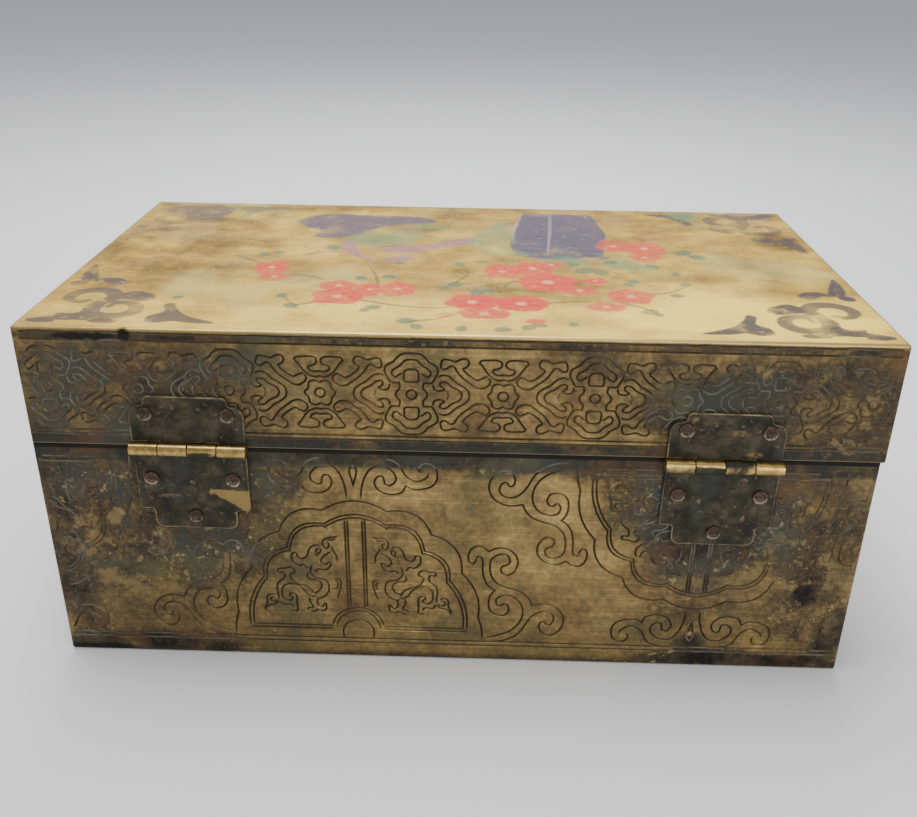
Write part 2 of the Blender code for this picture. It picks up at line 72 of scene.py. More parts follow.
# How level a flat face's normal has to be, and the least lengths that are divided by
FLAT = 0.999
TINY = 1e-9
SHORTEST_SPAN = 1e-6
SMALLEST_SQUARE = 1e-12

# Chasing, in millimetres. A curve gets fewer points on the hidden sides; lips are added where a wall would
# run on past LIP_REACH half widths
LINE_HALF = 0.38
LINE_DEPTH = 0.30
FAINT_LINE = 0.6
MARGIN = 0.8
CURVE_TOLERANCE = 0.055
FAR_TOLERANCE = 0.12
RULED_POINTS = 4
SHARPEST_MITRE = 0.6
SPLINE_STEPS = 12
JOIN_DISTANCE = 0.012
CELL = 2.5
LIP_PASSES = 1
LIP_SHARE = 0.3
LIP_REACH = 1.7

# Lid band, in millimetres
BAND_PERIOD = 49.1
BAND_PHASE = -12.0
BAND_CENTRE = 17.2
LID_BORDERS = (3.2, 4.5, 31.1, 33.1)
RING_RADIUS = 1.35

# Quarter of the cloud motif, from its centre. A point given twice in a row makes a corner in any curve
CLOUD_OUTER = (
    (0, 12), (1.6, 11.95), (2.9, 11.5), (3.9, 10.6), (4.5, 9.7), (5.7, 9), (6.8, 8.2), (7.1, 7.2), (6.9, 6),
    (6.3, 4.9), (5.8, 3.9), (5.3, 3.5), (4.4, 3.45), (3.3, 3.5), (3.3, 3.5), (3.1, 2.6), (3.15, 1.9),
    (3.5, 1.3), (4.1, 0.7), (4.25, 0))
CLOUD_INNER = (
    (0, 10.2), (1.4, 10), (2.2, 9.4), (2.9, 8.5), (4, 7.8), (4.9, 7.1), (5.2, 6.3), (4.9, 5.5), (4.2, 5.15),
    (3.5, 5.7), (2.7, 6.25), (2, 6.6))
STEM_BOX = ((0, 3.75), (1.4, 3.75), (1.9, 4.1), (2, 5.4), (1.9, 6.5), (1.2, 7.3), (0, 7.45))
HOOK_OUTER = (
    (6.9, 4.9), (7.9, 5.75), (8.9, 5.9), (9.9, 5.6), (10.8, 4.9), (11.5, 4.1), (12.4, 3.4), (13.4, 2.9),
    (14.4, 2.2), (15.2, 1.4), (15.6, 0))
HOOK_INNER = (
    (5.9, 3.6), (5.85, 2.5), (6.3, 1.6), (7.3, 1.3), (8.4, 1.5), (8.9, 1.85), (8.2, 2.3), (7.6, 3.1),
    (7.8, 3.75), (8.8, 3.9), (9.6, 3.6), (10.4, 2.8), (11.4, 2.1), (12.4, 1.7), (13.2, 1), (13.6, 0))
TONGUE = ((8.9, 1.85), (9.6, 1.1), (9.9, 0))
LINK_ARM = (
    (7.8, 8.7), (8.4, 10.3), (9.8, 10.4), (11.7, 9.9), (13.2, 10.6), (14.6, 10.7), (15.3, 9.6), (14.7, 8.4),
    (13.8, 7.9), (14.4, 6.8), (16.2, 5.3), (17.6, 4.65), (18.8, 5.2), (20, 5.65), (21, 4.6), (20.7, 3.4),
    (19.2, 2.3), (17.4, 2.4), (15.6, 3.7), (13.6, 5.2), (12.2, 7), (11.3, 8.4), (10.3, 8.5), (9, 7.6),
    (8, 7.9))
# Quarter of the flower motif, from its own centre
BRACKET = (
    (0, 4.9), (1.1, 4.65), (2.2, 4.9), (3.2, 5.4), (3.9, 6.1), (4.5, 6.9), (5.2, 8), (5.8, 8.9), (6.5, 9.6),
    (6.5, 9.6), (6, 10.25), (5, 10.45), (1.7, 10.45), (0.8, 10), (0.55, 9.2), (0.9, 8.4), (1.7, 8),
    (2.6, 7.8), (2.9, 7.2), (2.3, 6.5), (1.2, 6.2), (0, 6.35))
FLOWER = ((0, 3.05), (0, 3.05), (0.8, 3.5), (2, 3.55), (2.8, 3), (3, 2), (3.2, 1.2), (3.9, 0.6), (4.1, 0))

# Case pattern, in millimetres from a medallion's axis and the underside
MEDALLION_PHASE = -28.0
MEDALLION_SPACING = 99.7
TURN_HEIGHT = 76.5
FOOT_BORDERS = (5.4, 6.9)
TOP_BORDERS = (66.2, 67.8)
TOP_BORDER_REACH = 30.0
OUTER_TOP = 55.5
INNER_TOP = 51.0
# Lobes from the top down, as (x and z of the cusp that ends it, rise)
OUTER_LOBES = ((9.2, 52.2, 3.3), (22.0, 44.8, 3.3), (30.9, 31.8, 3.1), (36.0, 15.8, 2.0), (37.3, 6.9, 0.5))
INNER_LOBES = ((8.9, 47.6, 3.4), (20.0, 39.1, 3.6), (27.4, 28.9, 2.8), (32.4, 9.6, 2.2))
INNER_GAP = 1.15
LOBE_STEPS = 14
# Arches as (height of the centre, radius, foot's angle), upright bars as x, base lines as (z, from x, to x)
ARCHES = ((10.5, 7.8, 8), (10.5, 6.6, 2), (9.1, 4.7, -28))
BARS = (2.1, 2.9)
BAR_TOP = 49.4
BAR_FOOT = 18.4
BASE_LINES = ((10.4, 7.3, 33.0), (11.5, 7.2, 31.8))
SCROLL_OUTER = (
    (35.1, 37.5), (34.9, 36.2), (34.1, 35.2), (33.2, 35.6), (32.7, 37), (32.9, 38.9), (33.9, 40.6),
    (35.4, 41.3), (37.1, 40.9), (38.6, 39.6), (38.6, 39.6), (40.5, 40.6), (42.5, 40.9), (44.5, 40.3),
    (46.2, 38.9), (47.1, 37), (47.1, 35), (46.5, 33.2), (45.4, 31.9), (43.9, 31.5), (42.7, 32.2),
    (42.3, 33.5), (42.9, 34.6), (43.9, 35), (44.7, 35.6), (44.9, 36.6), (44.4, 37.9), (43.3, 38.7),
    (42, 38.7), (40.5, 38), (39.4, 36.6), (39.1, 34.5), (39.3, 32), (40.1, 29.9), (41.5, 28.3),
    (43.5, 27.2), (46, 26.5), (48.3, 25.6), (50.1, 24.2), (51.3, 22.4), (51.9, 20.8), (51.9, 20.8),
    (53.5, 21.2), (55.5, 21.4), (57.7, 20.9), (59.7, 19.6), (61.1, 17.6), (61.6, 15.4), (61.1, 13),
    (59.9, 11.2), (58.1, 10), (56.4, 10.1), (54.9, 11.4), (54.3, 13), (54.7, 14.6), (55.9, 15), (56.5, 14),
    (57.3, 13.8), (58.3, 14.8), (58.6, 16.4), (57.8, 17.9), (56.1, 18.7), (54.1, 18.4), (52.1, 16.9),
    (50.5, 14.4), (49.3, 11.9), (47.4, 9.5), (44.5, 7.8), (41.5, 7.1), (37.8, 6.9))
SCROLL_INNER = (
    (35.1, 37.4), (35.9, 37.7), (36.7, 37.2), (37, 36), (37, 33), (37.5, 30), (38.5, 27.8), (40, 26.3),
    (40.8, 26), (40.8, 26), (39.5, 24), (39, 21.5), (39.3, 19), (40.5, 17.5), (42.3, 16.9), (44.1, 17.2),
    (45, 18.6), (45, 20), (44.3, 21), (43.3, 21), (42.4, 20.3), (41.6, 20.7), (41.2, 21.9), (41.6, 23.2),
    (43.1, 24.1), (45.1, 24.1), (47.2, 23), (48.7, 21), (49.3, 18.4), (48.9, 15.6), (47.7, 13.2),
    (45.4, 11), (42.1, 9.5), (39.3, 8.6), (37.6, 8.4))
SPRAY = (
    (2.1, 55.7), (2.1, 58), (2.6, 61), (3.6, 64), (5.2, 66.2), (7.2, 67), (9.4, 66.6), (11.2, 65.2),
    (12.1, 63.4), (11.7, 61.8), (10.2, 60.8), (9, 61.2), (8.7, 62.6), (8.3, 63.6), (7.3, 63.8), (6.3, 62.8),
    (6, 61.4), (6.6, 59.8), (8, 58.5), (10.2, 57.9), (12.6, 58.2), (14, 59), (14.8, 60.8), (14.8, 60.8),
    (16.5, 59.8), (19.5, 59.9), (22, 60.8), (23.4, 62.6), (23.6, 65), (22.6, 67.4), (20.6, 68.2),
    (18.8, 67.2), (18.6, 65.5), (19.9, 64.9))
SPRAY_INNER = (
    (21.5, 65.8), (20.9, 64), (19.5, 62.8), (17.8, 62.3), (16, 62.9), (14.6, 64.3), (13.8, 66), (12.6, 68),
    (10.6, 69), (8.3, 69.2))
BUD = ((0, 60.4), (0, 60.4), (0.6, 63), (1, 65.4), (0, 67), (-1, 65.4), (-0.6, 63))
# The dragon of a medallion's right half
DRAGON = (
    ((4.9, 44), (5.8, 43.2), (7.7, 43), (9.1, 42.2), (9.6, 40.9), (8.9, 39.3), (8, 39.6), (7.8, 40.8),
     (8.4, 41.3)),
    ((5.2, 43.3), (6.4, 42.3), (7.9, 42.2), (8.6, 41.5)),
    ((6.9, 40.6), (6.9, 39), (6.6, 38.4), (5.7, 36.8), (5.7, 35.2), (5.2, 34)),
    ((6.9, 38.6), (7.7, 37.8), (8.9, 37), (9.9, 36), (10.3, 34.6), (9.7, 33.8), (8.7, 33.7), (7.9, 34.4),
     (7.4, 33.8), (7.8, 32.8), (8.7, 31.9), (9.9, 31.6), (11.1, 31.9), (11.7, 31.6), (12.2, 31)),
    ((10.1, 39.2), (10.9, 40.1), (12, 40.2), (13, 39.6), (13.7, 38.4), (14, 37.2), (14.6, 36.1),
     (15.6, 35.5), (16.4, 35.5), (17.2, 36.3), (17.3, 37.1), (18, 37.4), (18.7, 37), (18.9, 36),
     (18.7, 34.6), (18, 33.7), (16.7, 33), (15.5, 33.4), (15, 32.5), (14.3, 32.3)),
    ((10.2, 38.8), (11, 39), (11.6, 38), (11.1, 37.2), (10.4, 37.8), (10.2, 38.8)),
    ((10.6, 37.1), (11.9, 36.7), (12.9, 37.1)),
    ((12.7, 33.9), (13.3, 32.5), (13.6, 31), (13.3, 30), (12.6, 29.2), (11.5, 28.6), (10.1, 28.4),
     (9.1, 27.9), (8.5, 26.8), (8.3, 25.4), (8.5, 24), (9.3, 22.6), (10.5, 21.7), (11.7, 21.4),
     (12.5, 21.6)),
    ((14.1, 31.3), (14.5, 30), (14.6, 28.8), (13.9, 28.2), (12.9, 28.2), (11.5, 27.8), (10.6, 26.8),
     (10.5, 25.6), (11.1, 24.4), (12.3, 23.4), (12.9, 23.2), (13.5, 24.2), (14.5, 25.3), (15.9, 25.9),
     (17.5, 26.4), (18.7, 27.2), (19.5, 28.4), (19.8, 29.4)),
    ((12.3, 22.9), (13.2, 22), (14.1, 22.2), (15.1, 23), (15.9, 24.4), (17.1, 25.6), (18.7, 26.4),
     (20.2, 26.4), (21.5, 25.8), (22.3, 24.6), (22.5, 23), (22.3, 21.6), (21.5, 20.6), (20.5, 20.3),
     (19.6, 20.9), (19.5, 21.7), (20.2, 22), (20, 22.8), (19.2, 23), (18.4, 22.6), (18.1, 21.4), (18.1, 20),
     (18.2, 18.6), (18.1, 17), (18.8, 16.3), (19.6, 16.8), (20.4, 16.5)),
    ((19.3, 17.4), (19.5, 18.3), (20.3, 18.9), (21.3, 18.8), (22.5, 18.8), (23.1, 19.6), (23.9, 19.6),
     (24.7, 18.8), (25.9, 18.7), (26.7, 18.4), (27.5, 17.6), (27.7, 16)),
    ((19.8, 29.2), (19.2, 30.2), (18.5, 30.3), (18.3, 31.2), (19.2, 32.2), (20.2, 32.3), (21.2, 31.8),
     (22.3, 31.8), (23.1, 31.5), (23.3, 30.8), (22.6, 30.4), (21.7, 30.5), (21.3, 29.6), (21.6, 28.2),
     (22.6, 27.4), (23.5, 26.4), (23.8, 25), (23.7, 23), (23.5, 21.4), (23.8, 20)),
    ((6.9, 28), (5.9, 28.4), (5, 28.1), (4.7, 27), (4.9, 25.6), (5.3, 24), (5.5, 23), (6, 21.9),
     (6.9, 22.4)),
    ((6.3, 27.5), (5.7, 27), (5.7, 26), (6, 25.2), (6.8, 25), (8, 24.8)),
    ((11.6, 21.4), (12, 20.6), (12, 19.4), (11.6, 18.6), (10.5, 18.4), (9.9, 19.4), (9.5, 19.6),
     (9.4, 18.6), (9.6, 17.4), (10.9, 16.8), (12.1, 17.2), (12.9, 16.7), (13.9, 16.5), (14.9, 16.6)),
    ((14.1, 22.3), (14.3, 21), (14.1, 19.6), (13.5, 18.6), (13.6, 17.9), (14.5, 17.9), (15.1, 17.3)),
    ((24, 20.4), (24.5, 19.9), (25.5, 19.8), (26.1, 20.4), (25.9, 21.2), (25.1, 21.4)),
    ((24.3, 21.6), (25.3, 22.4), (26.5, 22.2), (27.1, 21.2), (27, 20), (27.3, 19), (27.9, 17.8),
     (27.8, 16.2)))

# Hinges, in millimetres from the middle of the hinge's own axis
LEAF_THICKNESS = 0.75
LEAF_HALF = 15.75
# Leaves as (reach from the axis, reach of the stepped sides, width of a step, shoulder's radius)
UPPER_LEAF = (15.6, 12.8, 4.2, 3.0)
LOWER_LEAF = (25.8, 19.7, 4.0, 1.1)
LEAF_CORNER = 2.4
NOTCH_RADIUS = 1.0
SHARPEST_PLATE = 0.5
LEAF_EDGE = 0.16
BARREL_RADIUS = 1.85
BORE_RADIUS = 1.1
BARREL_LENGTH = 32.4
KNUCKLES = 4
KNUCKLE_GAP = 0.22
KNUCKLE_SOFTENING = 0.12
BARREL_SIDES = 40
# Gap between a leaf and the sheet behind it
FACE_GAP = 0.30
RIVET_HEAD = 2.15
RIVET_RISE = 0.65
RIVET_SHANK = 1.1
RIVET_TAIL = 1.85
RIVET_SIDES = 40
# Rings of a rivet's ringed and dimpled face, as (share of the head's radius, drop from its top, rim strength)
RIVET_FACE = (
    (0.93, 0.12, 0.9), (0.80, 0.0, 0.8), (0.62, 0.05, 0.3), (0.55, 0.16, 0), (0.42, 0.05, 0.2),
    (0.25, 0.04, 0.2), (0.14, 0.18, 0), (0.05, 0.22, 0))
# Ends of a pin, as (radius, distance inwards)
PIN_ENDS = ((0.5, 0.0), (0.78, 0.15))
PIN_RADIUS = 0.8
PIN_SIDES = 24
UPPER_RIVETS = ((-11.2, 10.4), (11.2, 10.4))
LOWER_RIVETS = ((-11.4, -9.6), (11.4, -9.6), (0.0, -21.6))


def unit(vectors):
    """Vectors of length one."""
    return vectors / np.maximum(np.linalg.norm(vectors, axis=1), TINY)[:, None]


def turned_left(vectors):
    """Flat vectors after a quarter turn to the left."""
    return np.stack([-vectors[:, 1], vectors[:, 0]], 1)


def sideways(points, reach, closed, sharpest):
    """Steps from each point of a path to a path that runs beside it at the given reach."""
    forward = np.roll(points, -1, 0) - points
    if not closed:
        forward[-1] = forward[-2]
    forward = unit(forward)
    backward = np.roll(forward, 1, 0)
    if not closed:
        backward[0] = forward[0]
    across = unit(turned_left(forward + backward))
    spread = np.abs((across * turned_left(backward)).sum(1))
    return across * (reach / np.maximum(spread, sharpest))[:, None]


def spline(points, closed=False):
    """Centripetal Catmull-Rom curve through points; a point given twice in a row makes a corner."""
    knots = [np.array(p, float) for p in points]
    corners = [i for i in range(1, len(knots)) if np.allclose(knots[i], knots[i - 1])]
    if corners:
        pieces = []
        start = 0
        for corner in corners + [len(knots)]:
            run = knots[start:corner]
            if len(run) > 1:
                pieces.append(smooth_run(run, False))
            start = corner
        if closed:
            pieces.append(smooth_run([knots[-1], knots[0]], False))
        return thin_out(np.vstack([p[:-1] for p in pieces] + [pieces[-1][-1:]]))
    return thin_out(smooth_run(knots, closed))


def smooth_run(knots, closed):
    """One smooth run of a curve."""
    count = len(knots)
    curve = []
    for i in range(count if closed else count - 1):
        start = knots[i]
        end = knots[(i + 1) % count]
        before = knots[i - 1] if closed or i else 2 * start - end
        after = knots[(i + 2) % count] if closed or i + 2 < count else 2 * end - start
        spans = ((before, start), (start, end), (end, after))
        a, b, c = (max(np.linalg.norm(there - here), SHORTEST_SPAN) ** 0.5 for here, there in spans)
        leave = b * ((start - before) / a - (end - before) / (a + b) + (end - start) / b)
        arrive = b * ((end - start) / b - (after - start) / (b + c) + (after - end) / c)
        for step in range(SPLINE_STEPS):
            t = step / SPLINE_STEPS
            curve.append((2 * t ** 3 - 3 * t * t + 1) * start + (t ** 3 - 2 * t * t + t) * leave
                         + (3 * t * t - 2 * t ** 3) * end + (t ** 3 - t * t) * arrive)
    curve.append(curve[0] if closed else knots[-1])
    return np.array(curve)


def thin_out(curve, tolerance=CURVE_TOLERANCE):
    """Drop the points of a curve that lie within the tolerance of its chords."""
    keep = np.zeros(len(curve), bool)
    keep[[0, -1]] = True
    spans = [(0, len(curve) - 1)]
    while spans:
        first, last = spans.pop()
        if last - first < 2:
            continue
        chord = curve[last] - curve[first]
        offset = curve[first + 1:last] - curve[first]
        length = np.linalg.norm(chord)
        if length > MARGIN:
            away = np.abs(chord[0] * offset[:, 1] - chord[1] * offset[:, 0]) / length
        else:
            away = np.linalg.norm(offset, axis=1)
        worst = int(np.argmax(away))
        if away[worst] > tolerance:
            place = first + 1 + worst
            keep[place] = True
            spans += [(first, place), (place, last)]
    return curve[keep]


def arc(centre, radius, start, end, steps=24):
    """Circular arc between two angles in degrees."""
    angles = np.radians(np.linspace(start, end, steps + 1))
    return np.stack([centre[0] + radius * np.cos(angles), centre[1] + radius * np.sin(angles)], 1)


def lobed(top, lobes, inset=0.0):
    """Half outline of a lobed medallion, as arcs that meet at inward cusps."""
    outline = [(0.0, top - inset)]
    before = np.array((-lobes[0][0], lobes[0][1]))
    for number, (x, z, rise) in enumerate(lobes):
        cusp = np.array((x, z))
        chord = cusp - before
        outward = np.array((-chord[1], chord[0])) / np.linalg.norm(chord)
        for step in range(LOBE_STEPS // 2 + 1 if number == 0 else 1, LOBE_STEPS + 1):
            t = step / LOBE_STEPS
            outline.append(before + chord * t + outward * (rise * 4 * t * (1 - t) - inset))
        before = cusp
    return np.array(outline)


def both_sides(half):
    """Join a curve that starts, and may end, on the upright axis to its mirror image."""
    mirrored = half * (-1, 1)
    if abs(half[-1, 0]) < 1e-6:
        return np.vstack([half, mirrored[-2::-1]])
    return np.vstack([mirrored[:0:-1], half])


def both_levels(half):
    """Join a curve that ends on the level axis to its mirror image."""
    return np.vstack([half, (half * (1, -1))[-2::-1]])


def ruled(start, end):
    """Straight groove whose ends run out."""
    start, end = np.array(start, float), np.array(end, float)
    taper = (end - start) / np.linalg.norm(end - start) * LINE_HALF * 2
    return np.array([start, start + taper, end - taper, end])


def clipped(curve, half_width, low, high):
    """Runs of a curve that lie inside a panel's margins."""
    inside = (np.abs(curve[:, 0]) <= half_width) & (curve[:, 1] >= low) & (curve[:, 1] <= high)
    runs = []
    start = None
    for i, good in enumerate(inside):
        if good and start is None:
            start = i
        if start is not None and (not good or i == len(curve) - 1):
            end = i if not good else i + 1
            if end - start > 2:
                runs.append(curve[start:end])
            start = None
    return runs


def band_shapes():
    """Every chased curve of one repeat of the lid's band, with its strength."""
    half = BAND_PERIOD / 2
    shapes = [(both_sides(both_levels(spline(CLOUD_OUTER))), 1.0), (arc((0, 0), RING_RADIUS, 0, 360), 1.0)]
    for flip in (-1, 1):
        shapes += [(both_sides(spline(curve)) * (1, flip), 1.0) for curve in (CLOUD_INNER, STEM_BOX)]
        shapes += [(both_levels(spline(curve)) * (flip, 1), 1.0) for curve in (HOOK_OUTER, HOOK_INNER)]
        shapes.append((both_levels(spline(TONGUE)) * (flip, 1), FAINT_LINE))
        shapes.append((both_sides(spline(BRACKET)) * (1, flip) + (half, 0), 1.0))
        shapes += [(spline(LINK_ARM, closed=True) * (flip, turn), 1.0) for turn in (-1, 1)]
    shapes.append((both_sides(both_levels(spline(FLOWER))) + (half, 0), 1.0))
    shapes.append((arc((half, 0), RING_RADIUS, 0, 360), 1.0))
    return shapes


def lid_lines(length, height):
    """Chased lines of one side of the lid, from the side's middle and lower edge."""
    half = length / 2 - MARGIN
    high = height - EDGE_RADIUS / MM - MARGIN / 2
    lines = []
    reach = math.ceil(half / BAND_PERIOD) + 1
    shapes = band_shapes()
    for repeat in range(-reach, reach + 1):
        for curve, strength in shapes:
            placed = curve + (BAND_PHASE + repeat * BAND_PERIOD, BAND_CENTRE)
            lines += [(run, strength) for run in clipped(placed, half, MARGIN, high)]
    lines += [(ruled((-half, z), (half, z)), 1.0) for z in LID_BORDERS]
    return lines


def medallion_shapes():
    """Every chased curve of one medallion, its two dragons, its spray and the scrolls beside it."""
    curves = [both_sides(lobed(OUTER_TOP, OUTER_LOBES))]
    curves += [both_sides(lobed(INNER_TOP, INNER_LOBES, inset)) for inset in (0.0, INNER_GAP)]
    curves += [arc((0, centre), radius, 180 - foot, foot) for centre, radius, foot in ARCHES]
    curves.append(spline(BUD, closed=True))
    strokes = (SCROLL_OUTER, SCROLL_INNER, SPRAY, SPRAY_INNER, *DRAGON)
    for flip in (-1, 1):
        curves += [ruled((flip * x, BAR_TOP), (flip * x, BAR_FOOT)) for x in BARS]
        curves += [ruled((flip * start, z), (flip * end, z)) for z, start, end in BASE_LINES]
        curves += [spline(stroke) * (flip, 1) for stroke in strokes]
    return curves


def case_lines(length, height):
    """Chased lines of one side of the case, its medallions turned over in turn."""
    half = length / 2 - MARGIN
    low = EDGE_RADIUS / MM + MARGIN
    high = height - MARGIN
    lines = []
    reach = math.ceil(half / MEDALLION_SPACING) + 1
    curves = medallion_shapes()
    for repeat in range(-reach, reach + 1):
        centre = MEDALLION_PHASE + repeat * MEDALLION_SPACING
        turned = repeat % 2
        for curve in curves:
            placed = curve * (1, -1 if turned else 1) + (centre, TURN_HEIGHT if turned else 0)
            lines += [(run, 1.0) for run in clipped(placed, half, low, high)]
        start, end = max(centre - TOP_BORDER_REACH, -half), min(centre + TOP_BORDER_REACH, half)
        if turned and end - start > TOP_BORDER_REACH / 2:
            lines += [(ruled((start, z), (end, z)), FAINT_LINE) for z in TOP_BORDERS]
    lines += [(ruled((-half, z), (half, z)), 1.0) for z in FOOT_BORDERS]
    return lines


def groove(line):
    """Middle and lips of one groove, with the lips meeting at each open end."""
    closed = np.linalg.norm(line[0] - line[-1]) < JOIN_DISTANCE and len(line) > RULED_POINTS
    middle = line[:-1] if closed else line
    reach = sideways(middle, LINE_HALF, closed, SHARPEST_MITRE)
    inner = slice(None) if closed else slice(1, -1)
    return closed, middle, (middle[inner] + reach[inner], middle[inner] - reach[inner])


def groove_share(spots, tracks):
    """Share of the full depth at each spot, from 0 at the lips to 1 on a line."""
    share = np.zeros(len(spots))
    if not tracks:
        return share
    starts, ends, opens, shuts = (np.array(column) for column in zip(*tracks))
    crossed = {}
    low = np.floor((np.minimum(starts, ends) - LINE_HALF) / CELL).astype(int)
    high = np.floor((np.maximum(starts, ends) + LINE_HALF) / CELL).astype(int)
    for number, (first, last) in enumerate(zip(low, high)):
        for column in range(first[0], last[0] + 1):
            for row in range(first[1], last[1] + 1):
                crossed.setdefault((column, row), []).append(number)
    held = {}
    for number, cell in enumerate(map(tuple, np.floor(spots / CELL).astype(int))):
        held.setdefault(cell, []).append(number)
    for cell, chosen in held.items():
        near = crossed.get(cell)
        if not near:
            continue
        run = ends[near] - starts[near]
        offset = spots[chosen][:, None, :] - starts[near][None]
        t = np.clip((offset * run[None]).sum(2) / np.maximum((run * run).sum(1), SMALLEST_SQUARE)[None], 0, 1)
        away = np.sqrt(((offset - run[None] * t[..., None]) ** 2).sum(2))
        full = opens[near] * (1 - t) + shuts[near] * t
        depth = full * (1 - away / (LINE_HALF * np.maximum(full, SHORTEST_SPAN)))
        share[chosen] = np.maximum(depth.max(1), 0)
    return share


def network(corners, lines):
    """Flat triangles of a panel cut by grooves: points, triangles, corner of each point and depth shares."""
    points = [np.array(corners)]
    edges = []
    tracks = []
    count = len(corners)
    for line, strength in lines:
        closed, middle, lips = groove(line)
        size = len(middle)
        ring = np.arange(count, count + size)
        points.append(middle)
        count += size
        links = list(zip(ring[:-1], ring[1:])) + ([(ring[-1], ring[0])] if closed else [])
        edges += links
        for lip in lips:
            side = list(range(count, count + len(lip)))
            points.append(lip)
            count += len(lip)
            path = side + side[:1] if closed else [ring[0]] + side + [ring[-1]]
            edges += list(zip(path[:-1], path[1:]))
        for i in range(len(links)):
            opens = 0.0 if not closed and i == 0 else strength
            shuts = 0.0 if not closed and i == size - 2 else strength
            tracks.append((middle[i], middle[(i + 1) % size], opens, shuts))
    flat = np.vstack(points)
    pairs = [(int(a), int(b)) for a, b in edges]
    for _ in range(LIP_PASSES):
        spots, triangles, corner_of = triangulated(flat, pairs, len(corners))
        share = groove_share(spots, tracks)
        flat = np.vstack([flat, missing_lips(spots, triangles, share, tracks)])
    spots, triangles, corner_of = triangulated(flat, pairs, len(corners))
    return spots, triangles, corner_of, groove_share(spots, tracks)


def triangulated(flat, pairs, corner_count, join=JOIN_DISTANCE):
    """Constrained triangles over flat points, with the corner that each point stands for."""
    points = [Vector(p) for p in flat]
    made, _, triangles, origins, _, _ = geometry.delaunay_2d_cdt(points, pairs, [], 0, join)
    corner_of = [next((s for s in sources if s < corner_count), None) for sources in origins]
    return np.array([tuple(p) for p in made]), triangles, corner_of


def fill(bm, verts, triangles, slot_number):
    """Triangles between the vertices, in one of the piece's materials."""
    for triangle in triangles:
        bm.faces.new([verts[i] for i in triangle]).material_index = slot_number


def bridge(bm, rings):
    """Quads from each ring of vertices to the next."""
    made = []
    for lower, upper in zip(rings, rings[1:]):
        for i in range(len(lower)):
            j = (i + 1) % len(lower)
            made.append(bm.faces.new([lower[i], lower[j], upper[j], upper[i]]))
    return made


def missing_lips(spots, triangles, share, tracks):
    """Points that end a groove's wall where a triangle would carry it on across the plain metal."""
    triples = np.array(triangles)
    edges = np.vstack([triples[:, pair] for pair in ((0, 1), (1, 2), (2, 0), (1, 0), (2, 1), (0, 2))])
    run = spots[edges[:, 1]] - spots[edges[:, 0]]
    length = np.sqrt((run ** 2).sum(1))
    chosen = (share[edges[:, 0]] > LIP_SHARE) & (length > LIP_REACH * LINE_HALF)
    deep, plain = edges[chosen].T
    part = LINE_HALF * share[deep] / length[chosen]
    found = spots[deep] + run[chosen] * part[:, None]
    carried = share[deep] * (1 - part) + share[plain] * part
    found = found[carried - groove_share(found, tracks) > LIP_SHARE]
    return np.unique(np.round(found, 3), axis=0)


def chase(bm, face, right, centre, foot, lines, layer):
    """Replace a flat side face by the same rectangle cut with chased lines."""
    corners = list(face.verts)
    bm.faces.remove(face)
    inward = UP.cross(right)
    level = corners[0].co.dot(inward)
    middle = centre.dot(right)
    flat_corners = [((c.co.dot(right) - middle) / MM, (c.co.z - foot) / MM) for c in corners]
    spots, triangles, corner_of, share = network(flat_corners, lines)
    verts = []
    for spot, corner, depth in zip(spots, corner_of, share):
        if corner is not None:
            verts.append(corners[corner])
            continue
        place = right * (spot[0] * MM + middle) + UP * (spot[1] * MM + foot)
        vert = bm.verts.new(place + inward * (level + depth * LINE_DEPTH * MM))
        vert[layer] = float(depth)
        verts.append(vert)
    fill(bm, verts, triangles, OUTSIDE)


def shell(low, high, closed_below, side_lines, top_painter=None):
    """Hollow sheet-metal box with rounded edges, chased sides and a softened rim."""
    size = high - low
    centre = (low + high) / 2
    bm = bmesh.new()
    layer = bm.verts.layers.float.new("groove")
    bmesh.ops.create_cube(bm, size=1.0)
    for vert in bm.verts:
        vert.co = Vector((vert.co.x * size.x, vert.co.y * size.y, vert.co.z * size.z)) + centre
    open_z = high.z if closed_below else low.z
    rounded = [e for e in bm.edges if not all(abs(v.co.z - open_z) < WALL for v in e.verts)]
    bmesh.ops.bevel(bm, geom=rounded, offset=EDGE_RADIUS, offset_type="OFFSET", segments=EDGE_SEGMENTS,
                    profile=0.5, affect="EDGES")
    bm.normal_update()
    for face in bm.faces:
        face.smooth = True
    chosen = []
    for right in (Vector((1, 0, 0)), Vector((0, 1, 0)), Vector((-1, 0, 0)), Vector((0, -1, 0))):
        outward = right.cross(UP)
        flat = [f for f in bm.faces if f.normal.dot(outward) > FLAT]
        chosen.append((max(flat, key=lambda f: f.calc_area()), right))
    for face, right in chosen:
        length = size.x if abs(right.x) > 0.5 else size.y
        lines = side_lines(length / MM - 2 * EDGE_RADIUS / MM, size.z / MM)
        tolerance = CURVE_TOLERANCE if right.x > 0.5 else FAR_TOLERANCE
        lines = [(thin_out(line, tolerance) if len(line) > RULED_POINTS else line, strength)
                 for line, strength in lines]
        chase(bm, face, right, centre, low.z, lines, layer)
    if top_painter:
        top_painter(bm, high.z)
    hollow(bm, low, high, closed_below)
    bmesh.ops.recalc_face_normals(bm, faces=bm.faces)
    return bm


